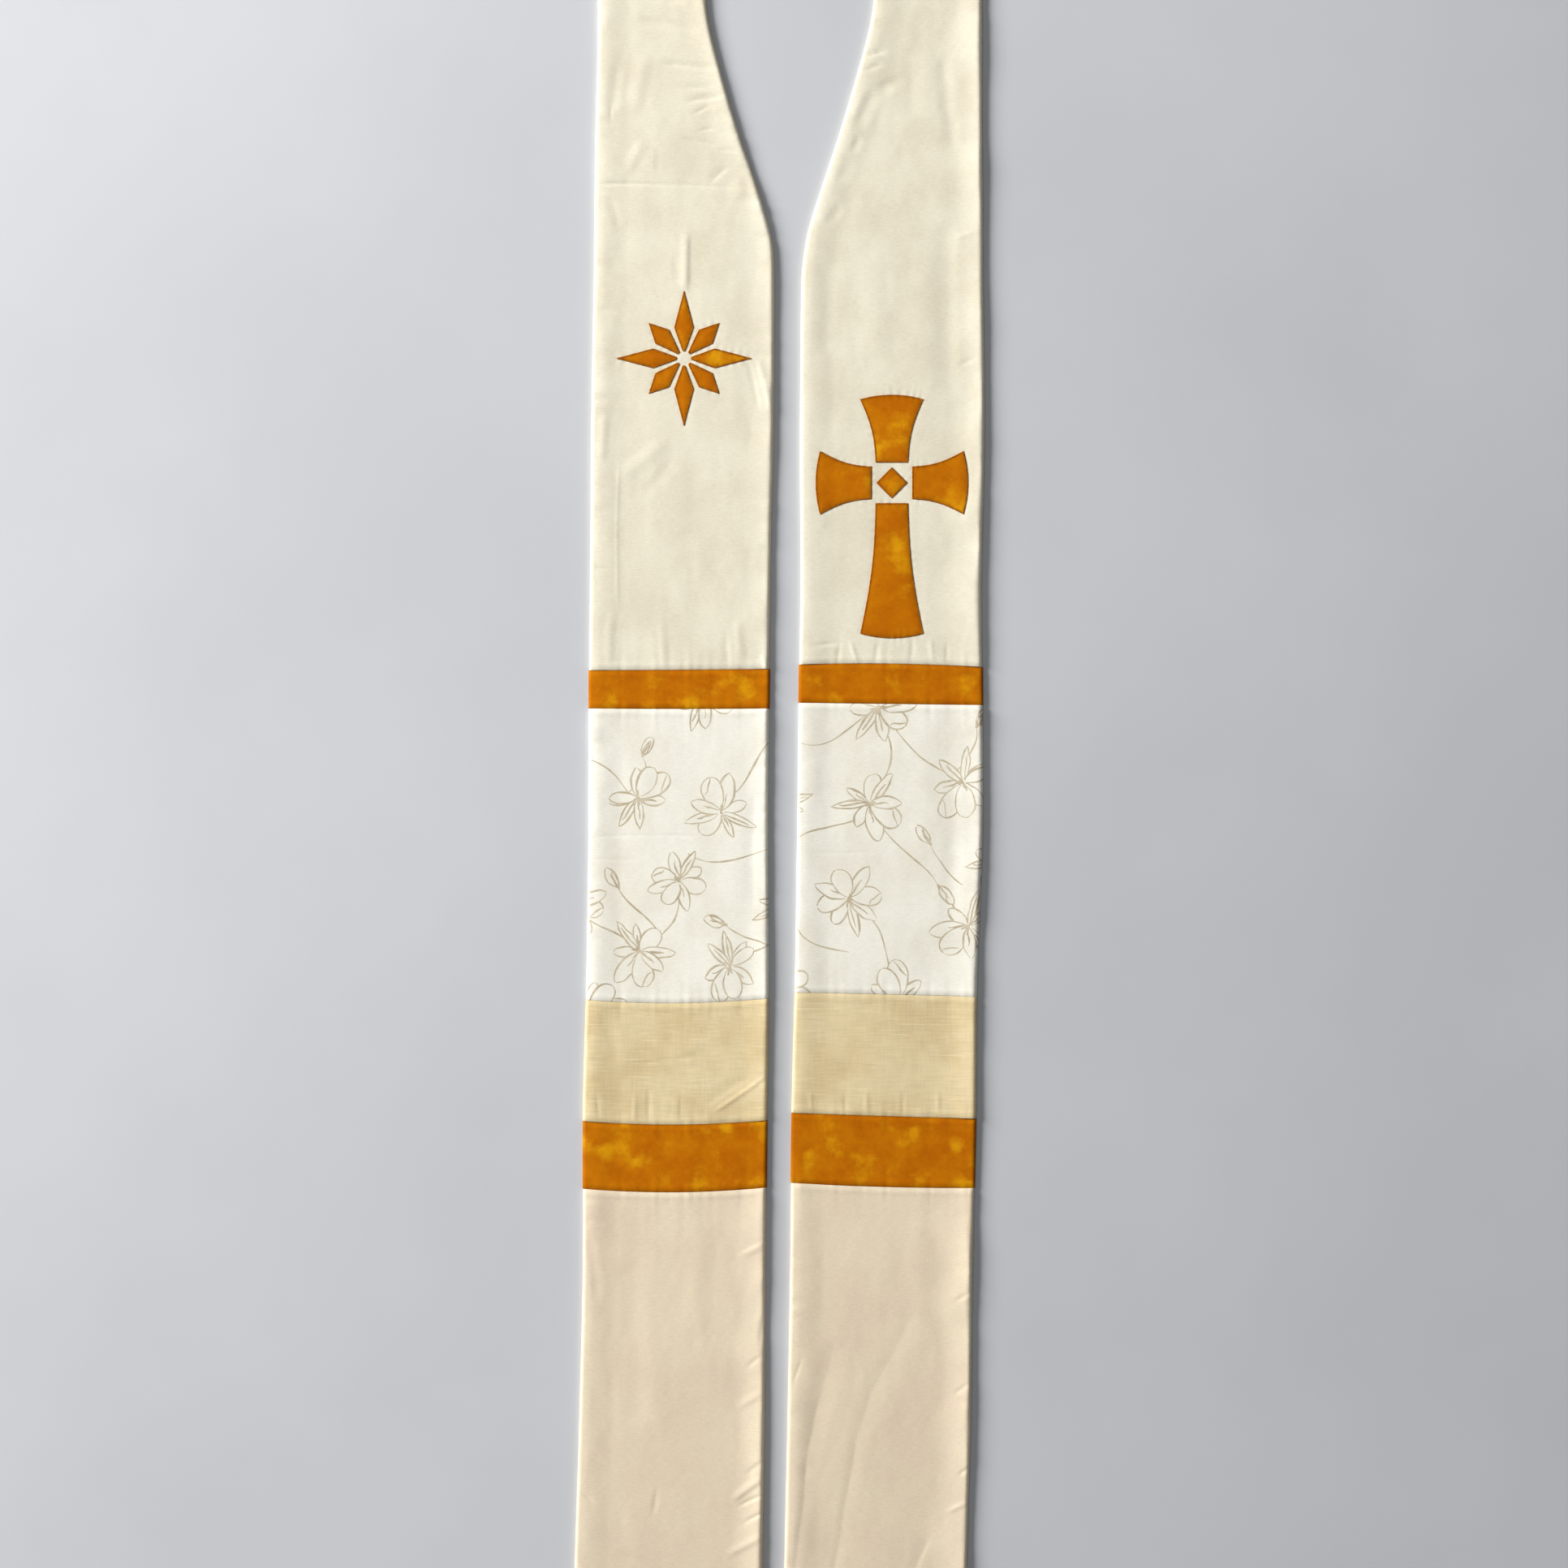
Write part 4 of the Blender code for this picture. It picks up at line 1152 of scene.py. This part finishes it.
def draw_bloom(bloom, fronts, chance):
    """An open flower from its front petals to those behind, with heavy strokes where they meet."""
    centre = np.array((bloom.x, -bloom.down), float)
    quads = []
    for _ in range(HEART_STROKES):
        a = math.radians(bloom.turn) + chance.uniform(-0.4, 3.9)
        out = np.array((math.sin(a), math.cos(a)))
        corners = (centre - out, centre + out, centre + out * 2.5, centre + out * chance.uniform(3, 7))
        quads += brush_line(corners, INK_WIDTH * HEART_INK, fronts, chance)
    for row in BLOOMS[bloom.kind]:
        quads += draw_petal(Petal(*row), centre, bloom.turn, bloom.size, fronts, chance)
    return quads


def draw_bud(bud, fronts, chance):
    """A closed bud: a pointed oval, two short lines inside it and a heavy base."""
    centre = np.array((bud.x, -bud.down), float)
    a = math.radians(bud.turn)
    out = np.array((math.sin(a), math.cos(a)))
    base = (centre - out, centre + out, centre + out * 2, centre + out * 3)
    quads = brush_line(base, INK_WIDTH * BUD_INK, fronts, chance)
    inner = []
    quads += draw_petal(Petal(0, 15, 7.5, 0.35, 0.7, 0.0), centre, bud.turn, bud.size, inner, chance)
    quads += draw_petal(Petal(9, 12, 3.0, 0.2, 0.0, 0.0), centre, bud.turn, bud.size, [], chance)
    fronts += inner
    return quads


def draw_stem(stem, fronts, chance):
    """A thin stem that bends one way near its start and may bend back near its end."""
    start, end = np.array((stem.x0, -stem.down0)), np.array((stem.x1, -stem.down1))
    run = (end - start) / math.dist(start, end)
    side = np.array((-run[1], run[0]))
    first = start + (end - start) * 0.3 + side * stem.bow0 * STEM_BOW
    second = start + (end - start) * 0.7 + side * stem.bow1 * STEM_BOW
    return brush_line((start, first, second, end), INK_WIDTH * STEM_INK, fronts, chance)


DRAW = {Bloom: draw_bloom, Bud: draw_bud, Stem: draw_stem}


def paint_print(tree, place):
    ground = two_tone(PRINT_LIGHT, PRINT_DEEP, 24.0)(tree, place)
    ink = blend(tree, cloudy(tree, place, 160.0, 0.36, 0.66), opaque(INK_LIGHT), opaque(INK_DEEP))
    inked = add_node(tree, "ShaderNodeAttribute", attribute_name="ink").outputs["Fac"]
    return blend(tree, inked, ground, ink)


printed = woven_material("print_cotton", paint_print, slubs=0.21, bump=0.18)
chance = np.random.default_rng(INK_SEED)
for band in BANDS:
    fronts = []
    quads = [quad for drawn in PRINTS[band.word] for quad in DRAW[type(drawn)](drawn, fronts, chance)]
    cut_panel(band, 2, "print_panel", 0.2, "print_cotton", printed, inked=quads)

# The linen panels. Natural linen lies under each print panel, its weft running across the band with
# long pale and dark slubs.
LINEN_LIGHT, LINEN_DEEP, LINEN_SLUB = (0.775, 0.635, 0.378), (0.695, 0.545, 0.30), (0.84, 0.73, 0.49)
SLUB_GRAIN, SLUB_STRENGTH = (28.0, 760.0, 1.0), 0.7


def paint_linen(tree, place):
    base = two_tone(LINEN_LIGHT, LINEN_DEEP, 30.0)(tree, place)
    stretched = add_node(tree, "ShaderNodeVectorMath", {0: place, 1: SLUB_GRAIN}, operation="MULTIPLY")
    slubs = cloudy(tree, stretched.outputs[0], 1.0, 0.58, 0.72)
    slubs = sum_of(tree, slubs, SLUB_STRENGTH, "MULTIPLY")
    return blend(tree, slubs, base, opaque(LINEN_SLUB))


# The linen's seams get a painted shade.
linen = woven_material(
    "linen", paint_linen, slubs=0.32, threads=1500.0, slub_length=60.0, roughness=0.85, bump=0.6,
    painted_shade_strength=0.12,
)
for band in BANDS:
    # Each linen panel gets a painted highlight inside its right edge.
    cut_panel(band, 3, "linen_panel", 0.3, "linen", linen, painted_edge_light=0.08)

# The lower panels. Plain unbleached muslin runs from the wide gold band to a turned hem. It is
# slightly pinker than the cream above it, and creased where the bands were folded.
MUSLIN_LIGHT, MUSLIN_DEEP = (0.775, 0.66, 0.479), (0.742, 0.61, 0.45)
muslin_paint = two_tone(MUSLIN_LIGHT, MUSLIN_DEEP, 18.0)
# The muslin's seams get a painted shade.
muslin = woven_material("muslin", muslin_paint, slubs=0.23, roughness=0.84, bump=0.22, painted_shade_strength=0.12)
for band in BANDS:
    # Each lower panel gets a painted highlight inside its right edge.
    cut_panel(band, 5, "lower_panel", 0.0, "muslin", muslin, painted_edge_light=0.1)

# The setting: a pale floor that the stole lies on, a large soft light from the top left, a weaker
# one from above, and the camera straight above the middle of what the photograph shows.
FRAME_WIDTH = 1.0723
VIEW_X, VIEW_Y = 0.00397, -0.05206
LENS, SENSOR = 50.0, 36.0
FACE_HEIGHT = 0.0013
FLOOR_COLOUR, FLOOR_DARK = (0.55, 0.56, 0.58), (0.515, 0.525, 0.545)
FLOOR_REACH, FLOOR_HEIGHT = 4.0, -0.0001
FLOOR_PATCHES, FLOOR_ROUGHNESS, FLOOR_GLOSS = 3.0, 0.9, 0.1

floor_mesh = bpy.data.meshes.new("floor")
corners = ((-1, -1), (1, -1), (1, 1), (-1, 1))
corners = [(x * FLOOR_REACH, y * FLOOR_REACH, FLOOR_HEIGHT) for x, y in corners]
floor_mesh.from_pydata(corners, [], [(0, 1, 2, 3)])
floor = put_in_scene("floor", floor_mesh)
floor_paint = bpy.data.materials.new("floor_paint")
floor_paint.use_nodes = True
tree = floor_paint.node_tree
place = add_node(tree, "ShaderNodeTexCoord").outputs["Object"]
floor_shader = tree.nodes["Principled BSDF"].inputs
floor_mask = cloudy(tree, place, FLOOR_PATCHES, 0.3, 0.7)
floor_blend = blend(tree, floor_mask, opaque(FLOOR_COLOUR), opaque(FLOOR_DARK))
tree.links.new(floor_blend, floor_shader["Base Color"])
floor_shader["Roughness"].default_value = FLOOR_ROUGHNESS
floor_shader["Specular IOR Level"].default_value = FLOOR_GLOSS
floor_mesh.materials.append(floor_paint)

Lamp = namedtuple("Lamp", "name place size power")
LAMPS = (
    Lamp("window_light", (-4.1, 2.0, 1.65), 1.8, 560.0),
    Lamp("ceiling_light", (-0.6, 0.3, 3.2), 2.4, 20.0),
)
for lamp in LAMPS:
    data = bpy.data.lights.new(lamp.name, "AREA")
    data.shape, data.size, data.energy = "SQUARE", lamp.size, lamp.power
    light = put_in_scene(lamp.name, data)
    light.location = lamp.place
    aim = Vector((VIEW_X, VIEW_Y, 0)) - Vector(lamp.place)
    light.rotation_euler = aim.to_track_quat("-Z", "Y").to_euler()

WORLD_COLOUR, WORLD_STRENGTH = (0.93, 0.96, 1.0, 1.0), 0.12
world = bpy.data.worlds.new("studio")
world.use_nodes = True
sky = world.node_tree.nodes["Background"]
sky.inputs["Color"].default_value = WORLD_COLOUR
sky.inputs["Strength"].default_value = WORLD_STRENGTH
bpy.context.scene.world = world
bpy.context.scene.view_settings.view_transform = "Standard"

lens = bpy.data.cameras.new("camera")
lens.lens, lens.sensor_width = LENS, SENSOR
camera = put_in_scene("camera", lens)
camera.location = (VIEW_X, VIEW_Y, FACE_HEIGHT + FRAME_WIDTH * LENS / SENSOR)
bpy.context.scene.camera = camera
